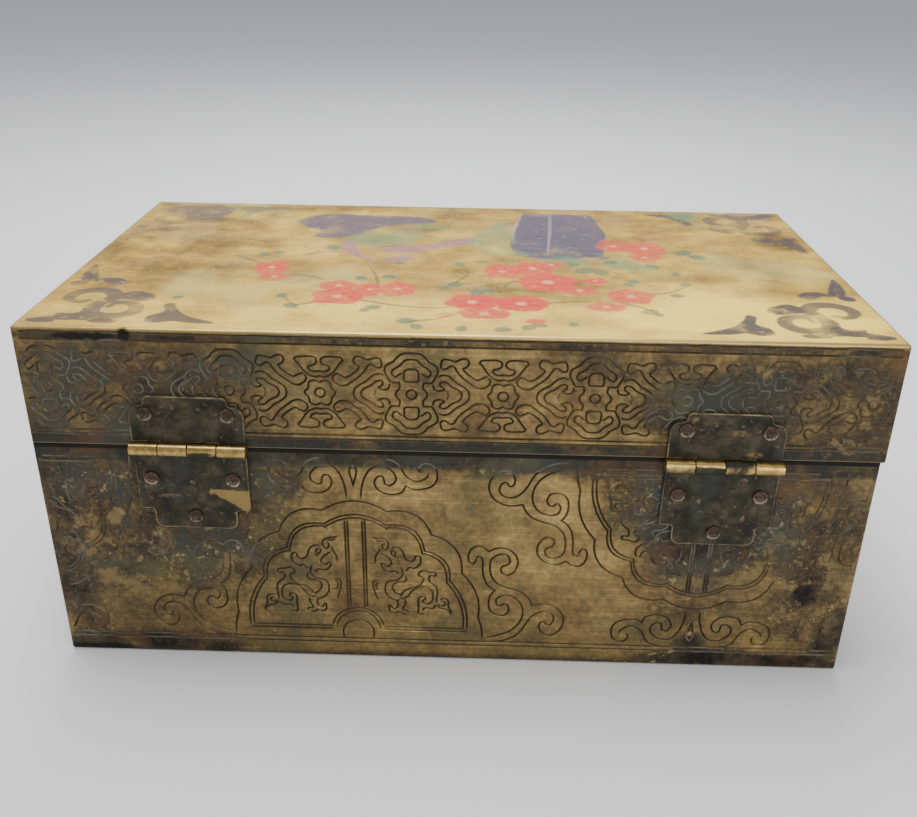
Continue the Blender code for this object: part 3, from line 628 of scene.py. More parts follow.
def hollow(bm, low, high, closed_below):
    """Open the box and give it walls, a floor and a softened rim."""
    open_z = high.z if closed_below else low.z
    deep_z = low.z + WALL if closed_below else high.z - WALL
    step = -RIM_SOFTENING if closed_below else RIM_SOFTENING
    centre = (low + high) / 2
    mouth = next(f for f in bm.faces if all(abs(v.co.z - open_z) < WALL / 10 for v in f.verts))
    rim = list(mouth.verts)
    bm.faces.remove(mouth)
    turn = ((1, 1), (-1, 1), (-1, -1), (1, -1))
    rings = []
    for inset, z in ((WALL - RIM_SOFTENING, open_z), (WALL, open_z + step), (WALL, deep_z)):
        rings.append([bm.verts.new((centre.x + sx * ((high.x - low.x) / 2 - inset),
                                    centre.y + sy * ((high.y - low.y) / 2 - inset), z)) for sx, sy in turn])
    first = dict(zip(turn, rings[0]))
    made = []
    for i, vert in enumerate(rim):
        after = rim[(i + 1) % len(rim)]
        here, there = (first[math.copysign(1, v.co.x - centre.x), math.copysign(1, v.co.y)]
                       for v in (vert, after))
        made.append(bm.faces.new([vert, after, there, here] if here is not there else [vert, after, here]))
    made += bridge(bm, rings)
    made.append(bm.faces.new(rings[-1]))
    for face in made:
        face.material_index = INSIDE


def in_scene(name, data):
    """New object in the scene."""
    made = bpy.data.objects.new(name, data)
    bpy.context.scene.collection.objects.link(made)
    return made


def mesh_from(name, bm, materials):
    """Mesh with its materials, made from a finished bmesh."""
    mesh = bpy.data.meshes.new(name)
    bm.to_mesh(mesh)
    bm.free()
    for material in materials:
        mesh.materials.append(material)
    return mesh


def add_piece(name, bm, materials, body, nodes, place=None):
    """Put a finished mesh in the scene, riding on its body and standing for its nodes."""
    mesh = mesh_from(name, bm, materials)
    mesh.set_sharp_from_angle(angle=SHARP_ANGLE)
    piece = in_scene(name, mesh)
    if place:
        piece.matrix_world = place
    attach(piece, body)
    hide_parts(*nodes)


def smooth_all(bm):
    """Outward normals and smooth shading, which SHARP_ANGLE breaks at the corners."""
    bmesh.ops.recalc_face_normals(bm, faces=bm.faces)
    for face in bm.faces:
        face.smooth = True


# Painted lid, in millimetres from the middle of the hinge edge
PAINT_SOFT = 0.6
PAINT_TOLERANCE = 0.14
PAINT_JOIN = JOIN_DISTANCE * 4
STEM_WIDTH = 0.55
STROKE_THINNING = 0.55
PETALS = 5
PETAL_PLACE = 0.48
PETAL_SIZE = 0.58
PETAL_RAGGED = 0.10
STRAND_PLACES = (0.28, 0.55, 0.86)
STRAND_BEND = 0.10
STRAND_STRENGTH = 0.6
HEART_SIZE = 0.2
LEAF_BREADTH = 0.36
LEAF_ROUNDING = 0.8
PAINT_LAYERS = ("violet", "slate", "pale", "rose", "moss", "leaf", "stem", "bloom", "strand", "heart")
# Blossoms as (x, y, half width, half depth, strength), leaves as (x, y, turn in degrees, length)
BLOOMS = (
    (-35, 28.5, 7.6, 6.8, 1.0), (-36, 38, 5.6, 4.4, 0.8), (-26.5, 35, 4.4, 5.6, 0.85),
    (-18.5, 36, 5.6, 6.4, 0.85), (-59, 54, 5.4, 7.0, 0.75), (-56.5, 45, 4.6, 4.4, 0.6),
    (3.6, 26, 7.4, 6.6, 1.0), (17.5, 25.5, 7.8, 6.4, 1.0), (7, 16.8, 7.4, 4.2, 0.85),
    (26, 45, 9.0, 8.6, 0.95), (22, 58, 6.6, 6.4, 0.85), (12.5, 54.5, 5.6, 7.0, 0.9),
    (35, 38, 5.6, 4.6, 0.6), (40.5, 47, 3.8, 3.6, 0.85), (49.5, 33.5, 7.0, 6.2, 0.8),
    (41.5, 24.2, 5.8, 3.6, 0.7), (50, 84, 6.0, 7.0, 0.6), (60, 82, 7.0, 8.0, 0.75), (59, 72, 5.0, 5.0, 0.7),
    (21, 11.5, 2.8, 2.2, 0.7), (-4, 15, 2.8, 2.0, 0.3), (28, 62, 5.0, 3.6, 0.6))
LEAVES = (
    (-64, 67, 60, 5.5), (-60, 70, 10, 4.5), (-22, 47, 20, 6), (-30, 45, 120, 5.5), (-2, 41, 30, 6),
    (-5, 38, 150, 5), (5, 34, 60, 6), (8, 36, 140, 5), (-1, 61, 70, 5.5), (6, 64, 10, 5.5), (38, 57, 40, 8),
    (43, 55, 160, 6.5), (35, 63, 90, 6), (52, 47, 60, 5.5), (50, 44, 130, 4.5), (67, 45, 20, 5),
    (-51, 28, 100, 5), (-47, 20, 150, 5.5), (-24, 20, 10, 5.5), (-26, 18, 60, 4.5), (-14, 10, 20, 6.5),
    (-11, 6, 130, 5), (1, 5, 80, 5), (12, 5, 10, 5.5), (19, 7, 50, 5.5), (22, 9, 150, 5), (31, 10, 90, 4),
    (53, 21, 30, 6), (55, 19, 140, 4.5), (63, 35, 10, 5), (72, 78, 60, 8), (76, 73, 140, 7),
    (-43, 76, 100, 6.5), (47, 66, 30, 6), (60, 62, 120, 6.5), (-80, 25, 20, 4), (66, 55, 70, 4.5),
    (45, 70, 20, 5), (30, 70, 60, 5), (-20, 61, 20, 4))
STEMS = (
    ((-73, 66), (-68, 62), (-60, 55)), ((-54, 66), (-48, 70), (-42, 72), (-38, 70)), ((-50, 67), (-45, 75)),
    ((-76, 86), (-70, 83), (-61, 81)), ((-51, 47), (-45, 46), (-40, 42)),
    ((-29, 26), (-18, 22), (-8, 20.5), (2, 22)), ((24, 26), (32, 28), (42, 29)),
    ((14, 44), (7, 40), (3, 35)), ((20, 48), (14, 43), (13, 38), (17, 32)),
    ((-24, 36), (-26, 48), (-30, 60)), ((-14, 9), (-6, 12), (0, 17)), ((46, 28), (52, 24), (55, 20)),
    ((56, 36), (62, 38), (68, 45)), ((62, 74), (70, 78), (76, 72)), ((36, 56), (44, 58), (50, 52)),
    ((-2, 42), (2, 52), (0, 60)), ((-40, 24), (-46, 21), (-50, 27)))
VASE = ((21, 126), (46, 123), (49, 98), (45.5, 72), (31, 67), (17.5, 71), (15, 84))
VASE_GLEAMS = (((31, 124), (29.5, 98), (27.5, 73)), ((20, 121), (17, 100), (16.5, 86)))
VASE_SHADES = (
    ((16.5, 84), (24, 82), (30, 83)), ((33, 85), (40, 83), (47, 85)), ((18, 78), (24, 76), (31, 77)),
    ((32, 78), (39, 79), (45, 77)), ((36, 73), (41, 73), (45, 74)), ((20, 92), (27, 90), (33, 91)))
VASE_LINE_WIDTH = 1.3
WINGS = (
    (((-60, 108), (-51, 118), (-34, 117.5), (-13, 115), (-11, 109.5), (-22, 106), (-32, 99), (-37, 91),
      (-46, 87), (-51, 89), (-50, 96), (-56, 101)),
     0.85),
    (((-111, 122), (-103, 127), (-87, 124), (-88, 110), (-97, 106), (-105, 111)), 0.42),
    (((-116, 88), (-113, 103), (-105, 99), (-109, 89)), 0.3),
    (((96, 128), (110, 129), (112, 119), (100, 115)), 0.4))
TAILS = (
    ((-37, 85), (-35, 76), (-32, 67), (-26, 60), (-22, 57), (-29, 62), (-37, 70), (-41, 80)),
    ((-27, 73), (-22, 79), (-12, 82), (2, 91), (3, 86), (-8, 77), (-19, 72)),
    ((-26, 64), (-20, 68), (-15, 66), (-21, 62)))
MOSSES = (
    ((-40, 88), (-32, 97), (-20, 99), (-13, 91), (-17, 84), (-27, 79), (-36, 81)),
    ((-20, 107), (-8, 105), (4, 102), (-9, 101), (-20, 102)),
    ((1, 84), (6, 101), (14, 113), (15, 82), (5, 78)), ((24, 66), (34, 71), (42, 66), (32, 62)),
    ((44, 64), (52, 68), (62, 60), (54, 57)), ((5, 76), (14, 79), (22, 72), (12, 70)),
    ((74, 128), (80, 118), (86, 122), (82, 131)))
# One corner ornament, from the corner inwards: closed outlines, then curling strokes
CORNER_HEADS = (
    ((53.5, 5), (48, 8), (43.5, 11), (39.8, 16), (37.8, 20.2), (35.6, 19), (37, 13), (33.8, 9.5), (34, 5.5),
     (37.5, 4.5), (41.5, 6), (45.5, 5)),
    ((9.8, 37.5), (8.6, 43), (6.6, 48), (4.2, 53.5), (3.4, 46), (5.4, 38)),
    ((8, 36.5), (5.6, 38), (3, 36), (3.6, 33.6), (6.4, 33.2)),
    ((29.8, 21), (28.8, 27), (24.5, 29.6), (21, 27), (21.5, 23), (25.5, 21.6)),
    ((18.5, 9.5), (15, 5.5), (10, 5.8), (8.8, 10.5), (13, 10.4), (16, 13)),
    ((27, 5.6), (20, 6.6), (19.2, 4.4), (26, 3.8)), ((10.5, 4.2), (5, 6.6), (2.5, 4.6), (6, 3)),
    ((19.2, 35.2), (17.8, 39.4), (13.6, 41), (10.4, 39.6), (13, 37.2), (16.4, 38)))
CORNER_CURLS = (
    ((18.5, 20), (16.8, 15), (18, 10.5), (22, 8.6), (27, 9.8), (29, 14), (27.5, 18.2), (23.6, 19.8),
     (20.6, 17.6), (21.4, 15.4)),
    ((18.5, 20), (20, 24.2), (17.4, 28.6), (12, 29.4), (8, 26.5), (7.6, 22), (11, 19.4), (14.6, 21.2)),
    ((29.4, 22), (28, 26), (23, 28)), ((19.5, 7.6), (13.5, 7.8), (7.5, 6), (2.5, 4.6)),
    ((18, 35.5), (13.5, 38.6), (9, 38)))
CORNER_WIDTH = 5.0
# The four corners as (side, whether it lies at the far edge, strength)
CORNERS = ((1, 0, 0.95), (-1, 0, 0.85), (1, 1, 0.8), (-1, 1, 0.45))


def petals(x, y, rx, ry):
    """Rounded petals round the middle of a blossom."""
    outlines = []
    for number in range(PETALS):
        angle = x * 0.7 + y + number * 2 * math.pi / PETALS
        middle = (x + rx * PETAL_PLACE * math.cos(angle), y + ry * PETAL_PLACE * math.sin(angle))
        around = np.linspace(0, 2 * math.pi, 17)
        ragged = 1 + PETAL_RAGGED * np.sin(around * 3 + x + number)
        outlines.append(np.stack([middle[0] + rx * PETAL_SIZE * ragged * np.cos(around),
                                  middle[1] + ry * PETAL_SIZE * ragged * np.sin(around)], 1))
    return outlines


def strands(x, y, rx, ry):
    """Short dark strokes that part the petals."""
    turn = x * 0.7 + y + math.pi / PETALS
    start, bow, end = STRAND_PLACES
    outlines = []
    for number in range(PETALS):
        angle = turn + number * 2 * math.pi / PETALS
        ray = np.array((math.cos(angle) * rx, math.sin(angle) * ry))
        bend = np.array((-ray[1], ray[0])) * STRAND_BEND
        outlines.append(stroke_shape([(x, y) + ray * start, (x, y) + ray * bow + bend, (x, y) + ray * end],
                                     STEM_WIDTH * 1.6))
    return outlines


def leaf_shape(x, y, turn, length):
    """Pointed leaf."""
    t = np.linspace(0, 1, 11)
    width = length * LEAF_BREADTH * np.sin(math.pi * t) ** LEAF_ROUNDING
    outline = both_levels(np.stack([(t - 0.5) * length, width], 1))
    angle = math.radians(turn)
    spin = np.array(((math.cos(angle), math.sin(angle)), (-math.sin(angle), math.cos(angle))))
    return outline @ spin + (x, y)


def stroke_shape(points, width):
    """Outline of a brush stroke that thins towards its end."""
    curve = spline(points)
    across = turned_left(unit(np.gradient(curve, axis=0)))
    taper = width / 2 * (1 - STROKE_THINNING * np.linspace(0, 1, len(curve)) ** 2)
    upper = curve + across * taper[:, None]
    lower = curve - across * taper[:, None]
    return np.vstack([upper, lower[::-1], upper[:1]])


def paint_shapes():
    """Every painted area as (layer, closed outline, strength, softness)."""
    shapes = []

    def paint(layer, outlines, strength, soft=PAINT_SOFT):
        shapes.extend((layer, thin_out(outline, PAINT_TOLERANCE), strength, soft) for outline in outlines)

    def corner_ornament(side, far, strength):
        depth = LID_SIZE.y / MM
        half = LID_SIZE.x / MM / 2
        heads = [spline(head, closed=True) for head in CORNER_HEADS]
        curls = [stroke_shape(curl, CORNER_WIDTH) for curl in CORNER_CURLS]
        for outlines, share in ((heads, 1.0), (curls, 0.9)):
            placed = [np.stack([side * (half - x), depth - y if far else y], 1)
                      for x, y in (outline.T for outline in outlines)]
            paint("slate", placed, strength * share)

    for corner in CORNERS:
        corner_ornament(*corner)
    paint("violet", [np.array(VASE + VASE[:1], float)], 0.95)
    paint("pale", [stroke_shape(stroke, VASE_LINE_WIDTH) for stroke in VASE_GLEAMS], 0.55)
    paint("slate", [stroke_shape(stroke, VASE_LINE_WIDTH) for stroke in VASE_SHADES], 0.5)
    for wing, strength in WINGS:
        paint("violet", [spline(wing, closed=True)], strength, PAINT_SOFT * 3)
    paint("rose", [spline(tail, closed=True) for tail in TAILS], 0.75, PAINT_SOFT * 3)
    paint("moss", [spline(moss, closed=True) for moss in MOSSES], 0.6, PAINT_SOFT * 5)
    paint("leaf", [leaf_shape(*one) for one in LEAVES], 0.8)
    paint("stem", [stroke_shape(stem, STEM_WIDTH * 2) for stem in STEMS], 0.7)
    for x, y, rx, ry, strength in BLOOMS:
        paint("bloom", petals(x, y, rx, ry), strength)
        paint("strand", strands(x, y, rx, ry), strength * STRAND_STRENGTH)
        if rx > PAINT_SOFT * 5:
            paint("heart", [arc((x, y), rx * HEART_SIZE, 0, 360, 12)], 0.8)
    return shapes


def paint_lid(bm, top_z):
    """Cut the lid's flat top along the painted outlines and store how strong each colour is at each point."""
    layers = {layer: bm.verts.layers.float.new("paint_" + layer) for layer in PAINT_LAYERS}
    face = max((f for f in bm.faces if f.normal.z > FLAT), key=lambda f: f.calc_area())
    corners = list(face.verts)
    bm.faces.remove(face)
    middle = (LID_LOW.x + LID_HIGH.x) / 2
    flat_corners = [((c.co.x - middle) / MM, (c.co.y - LID_LOW.y) / MM) for c in corners]
    low = np.min(flat_corners, axis=0) + MARGIN
    high = np.max(flat_corners, axis=0) - MARGIN
    points = [np.array(flat_corners)]
    edges = []
    count = len(flat_corners)
    shapes = paint_shapes()
    for _, outline, _, soft in shapes:
        across = turned_left(unit(np.gradient(outline, axis=0)))
        for side in (-0.5, 0.5):
            ring = np.clip(outline[:-1] + across[:-1] * soft * side, low, high)
            points.append(ring)
            edges += [(count + i, count + (i + 1) % len(ring)) for i in range(len(ring))]
            count += len(ring)
    spots, triangles, corner_of = triangulated(np.vstack(points), edges, len(corners), PAINT_JOIN)
    strengths = {layer: np.zeros(len(spots)) for layer in PAINT_LAYERS}
    for layer, outline, strength, soft in shapes:
        near = ((spots > outline.min(0) - soft) & (spots < outline.max(0) + soft)).all(1)
        cover = np.clip(0.5 - signed_distance(spots[near], outline) / soft, 0, 1) * strength
        strengths[layer][near] = np.maximum(strengths[layer][near], cover)
    verts = []
    for i, (spot, corner) in enumerate(zip(spots, corner_of)):
        vert = corners[corner] if corner is not None else bm.verts.new(
            (spot[0] * MM + middle, spot[1] * MM + LID_LOW.y, top_z))
        for layer in PAINT_LAYERS:
            vert[layers[layer]] = float(strengths[layer][i])
        verts.append(vert)
    fill(bm, verts, triangles, PAINTED)


def signed_distance(spots, outline):
    """Distance of each spot to a closed outline, negative inside."""
    away = np.full(len(spots), np.inf)
    inside = np.zeros(len(spots), bool)
    for start, end in zip(outline[:-1], outline[1:]):
        run = end - start
        offset = spots - start
        t = np.clip((offset @ run) / max(run @ run, SMALLEST_SQUARE), 0, 1)
        away = np.minimum(away, np.linalg.norm(offset - t[:, None] * run, axis=1))
        crosses = (start[1] > spots[:, 1]) != (end[1] > spots[:, 1])
        if crosses.any() and abs(run[1]) > SMALLEST_SQUARE:
            x = start[0] + (spots[:, 1] - start[1]) / run[1] * run[0]
            inside ^= crosses & (spots[:, 0] < x)
    return np.where(inside, -away, away)


class Wire:
    """Output of a shader node that can be added, subtracted and multiplied."""

    def __init__(self, shade, socket):
        self.shade = shade
        self.socket = socket

    def __add__(self, other):
        return self.shade.sum("ADD", self, other)

    def __sub__(self, other):
        return self.shade.sum("SUBTRACT", self, other)

    def __mul__(self, other):
        return self.shade.sum("MULTIPLY", self, other)


class Shade:
    """Short hand for building one node material."""

    def __init__(self, name):
        self.material = bpy.data.materials.new(name)
        self.material.use_nodes = True
        self.tree = self.material.node_tree
        self.place = self.node("ShaderNodeTexCoord", "Object")

    def node(self, kind, output, inputs=None, **settings):
        """One output of a new node whose inputs are fed from numbers, colours or other nodes."""
        made = self.tree.nodes.new(kind)
        for key, value in settings.items():
            setattr(made, key, value)
        self.feed(made, inputs or {})
        return Wire(self, made.outputs[output])

    def feed(self, node, inputs):
        for key, value in inputs.items():
            if isinstance(value, Wire):
                self.tree.links.new(value.socket, node.inputs[key])
            elif value is not None:
                node.inputs[key].default_value = value

    def noise(self, scale, detail, roughness, stretch=None, output="Fac"):
        place = self.vector("MULTIPLY", self.place, stretch) if stretch else self.place
        return self.node("ShaderNodeTexNoise", output,
                         {"Vector": place, "Scale": scale, "Detail": detail, "Roughness": roughness})

    def vector(self, operation, a, b=None):
        output = "Value" if operation == "LENGTH" else "Vector"
        return self.node("ShaderNodeVectorMath", output, {0: a, 1: b}, operation=operation)

    def sum(self, operation, a, b):
        return self.node("ShaderNodeMath", 0, {0: a, 1: b}, operation=operation)

    def step(self, value, low, high, out_low=0.0, out_high=1.0):
        """Number that goes smoothly from out_low to out_high as the value goes from low to high."""
        return self.node("ShaderNodeMapRange", "Result", {
            "Value": value, "From Min": low, "From Max": high, "To Min": out_low, "To Max": out_high},
            interpolation_type="SMOOTHSTEP")

    def between(self, value, low, high, soft):
        """1 where a place lies between two levels in millimetres, fading to 0 outside."""
        risen = self.step(value, (low - soft) * MM, (low + soft) * MM)
        return risen * self.step(value, (high - soft) * MM, (high + soft) * MM, 1.0, 0.0)

    def mix(self, factor, a, b):
        """Colour that goes from a to b."""
        a, b = ((*colour, 1.0) if isinstance(colour, tuple) else colour for colour in (a, b))
        return self.node("ShaderNodeMix", 2, {0: factor, 6: a, 7: b}, data_type="RGBA", clamp_factor=True)

    def blend(self, factor, a, b):
        """Number that goes from a to b."""
        return self.node("ShaderNodeMix", 0, {0: factor, 2: a, 3: b}, data_type="FLOAT", clamp_factor=True)

    def attribute(self, name):
        return self.node("ShaderNodeAttribute", "Fac", attribute_name=name)

    def axis(self, name, place=None):
        return self.node("ShaderNodeSeparateXYZ", name, {0: place or self.place})

    def warped(self, amount, scale):
        """Place shifted to and fro by noise, so that what follows it gets ragged edges."""
        shifted = self.vector("SUBTRACT", self.noise(scale, 5.0, 0.5, output="Color"), (0.5, 0.5, 0.5))
        return self.vector("ADD", self.place, self.vector("MULTIPLY", shifted, (amount, amount, amount)))

    def patch(self, place, x, y, z, rx, ry, rz, soft):
        """1 inside an ellipsoid whose centre and radii are in millimetres, fading to 0 outside."""
        shifted = self.vector("SUBTRACT", place, (x * MM, y * MM, z * MM))
        scaled = self.vector("MULTIPLY", shifted, (1 / (rx * MM), 1 / (ry * MM), 1 / (rz * MM)))
        return self.step(self.vector("LENGTH", scaled), 1 - soft, 1 + soft, 1.0, 0.0)

    def ramp(self, value, stops):
        """Colour that runs through (place, colour) stops."""
        colour = self.node("ShaderNodeValToRGB", "Color", {"Fac": value})
        scale = colour.socket.node.color_ramp.elements
        while len(scale) < len(stops):
            scale.new(1.0)
        for element, (place, stop) in zip(scale, stops):
            element.position = place
            element.color = (*stop, 1.0)
        return colour

    def finish(self, colour, metallic, roughness, specular=0.5, bump=None):
        """Feed the shader, with its bump as (height, strength, distance), and hand back the material."""
        shader = self.tree.nodes["Principled BSDF"]
        self.feed(shader, {"Base Color": colour, "Metallic": metallic, "Roughness": roughness,
                           "Specular IOR Level": specular})
        if bump:
            inputs = dict(zip(("Height", "Strength", "Distance"), bump))
            self.feed(shader, {"Normal": self.node("ShaderNodeBump", "Normal", inputs)})
        return self.material


# Colours in linear light; a scale holds (place on the tarnish scale, colour)
BRASS_SCALE = ((0.0, (0.46, 0.325, 0.120)), (0.22, (0.285, 0.198, 0.075)), (0.42, (0.175, 0.120, 0.049)),
               (0.60, (0.086, 0.060, 0.028)), (0.80, (0.038, 0.028, 0.017)), (1.0, (0.010, 0.008, 0.006)))
SLATE_TARNISH = (0.050, 0.054, 0.043)
GREEN_TARNISH = (0.080, 0.080, 0.040)
RED_TARNISH = (0.100, 0.050, 0.024)
GOLD_FLECK = (0.40, 0.285, 0.110)
FLAKE = (0.185, 0.128, 0.052)
GROOVE_DIRT = (0.036, 0.028, 0.017)
PALE_TRACE = (0.154, 0.146, 0.114)
# Black of the painted shade in the seam, and of the blots
SHADE_AND_BLOT_BLACK = (0.006, 0.005, 0.004)
# Pale painted highlight along the lid's lower lip
LIP_HIGHLIGHT = (0.130, 0.115, 0.080)
PLAIN_TARNISH = 0.40
PLAIN_RANGE = (PLAIN_TARNISH - 0.16, PLAIN_TARNISH + 0.26)
# Noise textures as (scale per metre, detail, roughness)
CLOUD, BROAD, GRAIN, DRIFT = (75.0, 10.0, 0.68), (20.0, 4.0, 0.55), (640.0, 5.0, 0.65), (48.0, 7.0, 0.62)
FLAKING, PITTING = (140.0, 7.0, 0.68), (110.0, 6.0, 0.66)
SPOTTING, DUST = (300.0, 5.0, 0.6), (1000.0, 3.0, 0.55)
# How a brushed texture is drawn out along x, y and z, and how far a patch reaches into the box
SCRATCHES = (28.0, 28.0, 1500.0)
BRUSHED = (26.0, 90.0, 26.0)
PATCH_DEPTH = 400
EDGE_SOFT = 0.1

# Looks of the hinge side, in millimetres: patches as (x, z, half width, half height, tarnish, softness),
# slate, flakes and blots as (x, z, half width, half height), levels as (low, high, softness, darkness, share
# of slate), edges as (low, high, colour). Some levels and all edges are painted shade and painted highlight
CASE_LOOK = {
    "patches": (
        (31, 46, 25, 22, 0.29, 0.5), (78, 26, 26, 16, 0.50, 0.5), (-20, 60, 22, 5, 0.30, 0.5),
        (-72, 16, 44, 15, 0.46, 0.5), (-100, 44, 26, 34, 0.77, 0.5), (-57, 54, 12, 17, 0.66, 0.5),
        (-76, 38, 22, 11, 0.72, 0.5), (-92, 20, 14, 9, 0.54, 0.5), (-98, 60, 18, 12, 0.72, 0.5),
        (74, 55, 27, 19, 0.70, 0.45), (74, 55, 21, 18, 0.88, 0.3), (-73, 55, 20, 18, 0.82, 0.3),
        (105, 42, 13, 26, 0.68, 0.5), (103, 29, 4, 4, 0.92, 0.4), (113, 14, 5, 9, 0.90, 0.5),
        (-46, 64, 6, 7, 0.76, 0.5), (14, 68, 14, 4, 0.76, 0.5), (36, 67, 8, 4, 0.70, 0.5),
        (49, 60, 8, 9, 0.62, 0.5), (-92, 2, 28, 5, 0.92, 0.5), (90, 2, 32, 4, 0.98, 0.5),
        (72, 6, 5, 5, 0.9, 0.4)),
    "slate": (
        (-94, 57, 3, 15), (-103, 61, 9, 9), (-50, 62, 7, 8), (-9, 69, 9, 3), (26, 67.5, 14, 4),
        (57, 58, 6, 14), (92, 52, 7, 16), (74, 34, 16, 6), (-62, 36, 7, 5), (-104, 34, 6, 10),
        (-73, 42, 14, 8)),
    "flakes": ((103, 32, 12, 26), (88, 40, 10, 6), (-96, 40, 15, 22), (-76, 30, 22, 8)),
    # Levels: painted shade with a slate tint just below the seam, and a darker band along the foot
    "levels": ((66.6, 80.0, 1.2, 0.88, 0.35), (-5.0, 1.6, 1.4, 0.78, 0.0)),
    # Edge: a black band along the case's top edge, painted shade in the seam under the lid
    "edges": ((70.6, 80.0, SHADE_AND_BLOT_BLACK),),
    "blots": ((103.0, 29.0, 2.6, 2.2), (-108.0, 1.0, 12.0, 1.6)),
    "flecks": 1.0}
LID_LOOK = {
    "patches": (
        (4, 90, 50, 12, 0.43, 0.6), (-98, 90, 28, 16, 0.68, 0.5), (-62, 90, 14, 13, 0.58, 0.5),
        (80, 92, 28, 13, 0.68, 0.5), (74, 84, 20, 13, 0.84, 0.3), (-73, 84, 19, 12, 0.74, 0.3),
        (48, 100, 14, 5, 0.60, 0.5), (107, 88, 14, 18, 0.70, 0.5)),
    "slate": ((-104, 90, 14, 14), (-92, 78, 16, 8), (-60, 96, 10, 5), (75, 88, 16, 12)),
    "flakes": ((106, 86, 10, 14), (88, 98, 12, 4)),
    # Levels: a slate strip at the lid's foot, a dark band under the top edge, and a painted highlight along
    # the rounded top edge
    "levels": (
        (60.0, 74.9, 0.25, 0.88, 0.5), (103.2, 104.9, 0.3, 0.74, 0.0), (105.75, 120.0, 0.15, -0.15, 0.0)),
    # Edge: a pale line along the lid's lower lip, a painted highlight
    "edges": ((60.0, 72.15, LIP_HIGHLIGHT),),
    "blots": ((-87.0, 104.6, 1.7, 2.2), (-98.0, 104.0, 9.0, 1.0)),
    "flecks": 0.45}


def brass(name, look):
    """Old sheet brass: golden where rubbed, brown, green-grey and black elsewhere, dirt in the lines;
    painted shade at the seam and painted highlights on the lid's edges.
    """
    s = Shade(name)
    near = s.warped(0.010, 70.0)
    front = -CASE_SIZE.y / 2 / MM
    height = s.axis("Z")
    on_front = s.step(s.axis("Y"), (front + 3) * MM, (front + 8) * MM, 1.0, 0.0)
    cloud, broad, grain, drift = (s.noise(*kind) for kind in (CLOUD, BROAD, GRAIN, DRIFT))

    region = PLAIN_TARNISH
    for x, z, rx, rz, darkness, soft in look["patches"]:
        region = s.blend(s.patch(near, x, front, z, rx, PATCH_DEPTH, rz, soft), region, darkness)
    region = s.blend(on_front, s.step(broad, 0.3, 0.7, *PLAIN_RANGE), region)
    shares = []
    for kind in ("slate", "flakes"):
        share, *others = (s.patch(near, x, front, z, rx, PATCH_DEPTH, rz, 0.5) for x, z, rx, rz in look[kind])
        for other in others:
            share = s.sum("MAXIMUM", share, other)
        shares.append(on_front * share)
    slate, flaky = shares
    # Bands by height: tarnish, painted shade below the seam and a painted highlight on the lid's top edge
    for low, high, soft, darkness, share in look["levels"]:
        band = s.between(height + (cloud - 0.5) * (2 * soft * MM), low, high, soft)
        region = s.blend(band, region, darkness)
        if share:
            slate = s.sum("MAXIMUM", slate, band * share)

    fine = (grain - 0.5) * 0.6
    scratch = s.noise(1.0, 4.0, 0.5, stretch=SCRATCHES)
    worn = s.step(scratch, 0.5, 0.7) * s.step(region, 0.3, 0.6, 0.16, 0.09)
    darkness = region + ((cloud - 0.5) * (region * 1.6 + 0.5) + fine) - worn
    colour = s.ramp(darkness, BRASS_SCALE)

    colour = s.mix(slate * s.step(cloud, 0.40, 0.58, 0.15, 0.9) * 0.8, colour, SLATE_TARNISH)
    colour = s.mix(s.step(drift, 0.52, 0.66) * s.step(region, 0.2, 0.5, 0.25, 0.6), colour, GREEN_TARNISH)
    colour = s.mix(s.step(drift, 0.44, 0.34) * s.step(region, 0.25, 0.55, 0.15, 0.45), colour, RED_TARNISH)
    colour = s.mix(flaky * s.step(s.noise(*FLAKING), 0.53, 0.60, 0.0, 0.85), colour, FLAKE)
    colour = s.mix(flaky * s.step(s.noise(*PITTING), 0.44, 0.37, 0.0, 0.85), colour, BRASS_SCALE[-2][1])
    spots = s.step(s.noise(*SPOTTING), 0.585, 0.68) * s.step(broad, 0.38, 0.60)
    dust = s.step(s.noise(*DUST), 0.60, 0.72) * 0.6
    flecks = s.sum("MAXIMUM", spots * 0.7, dust) * s.step(region, 0.36, 0.58)
    colour = s.mix(flecks * s.step(region, 0.9, 0.74, 0.1, look["flecks"]), colour, GOLD_FLECK)
    traced = s.step(region, 0.54, 0.66) * s.step(cloud, 0.40, 0.56, 0.1, 1.0)
    shown = s.step(s.attribute("groove"), 0.05, 0.60) * s.step(drift, 0.36, 0.54, 0.55, 0.95)
    colour = s.mix(shown * s.blend(flaky, 1.0, 0.45), colour, s.mix(traced, GROOVE_DIRT, PALE_TRACE))
    # Painted shade in the seam and painted highlight on the lid's lower lip
    for low, high, edge_light_and_shade in look["edges"]:
        colour = s.mix(s.between(height, low, high, EDGE_SOFT) * 0.95, colour, edge_light_and_shade)
    ragged = s.warped(0.002, 400.0)
    for x, z, rx, rz in look["blots"]:
        blot = s.patch(ragged, x, front, z, rx, PATCH_DEPTH, rz, 0.3) * on_front
        colour = s.mix(blot * 0.9, colour, SHADE_AND_BLOT_BLACK)
    metallic = s.step(darkness, 0.1, 0.9, 0.85, 0.35)
    roughness = s.step(darkness, 0.0, 0.9, 0.40, 0.62) + fine * 0.3
    return s.finish(colour, metallic, roughness, 0.25,
                    (cloud * 0.8 + grain * 0.4 + scratch * 0.25, 0.35, 0.00025))


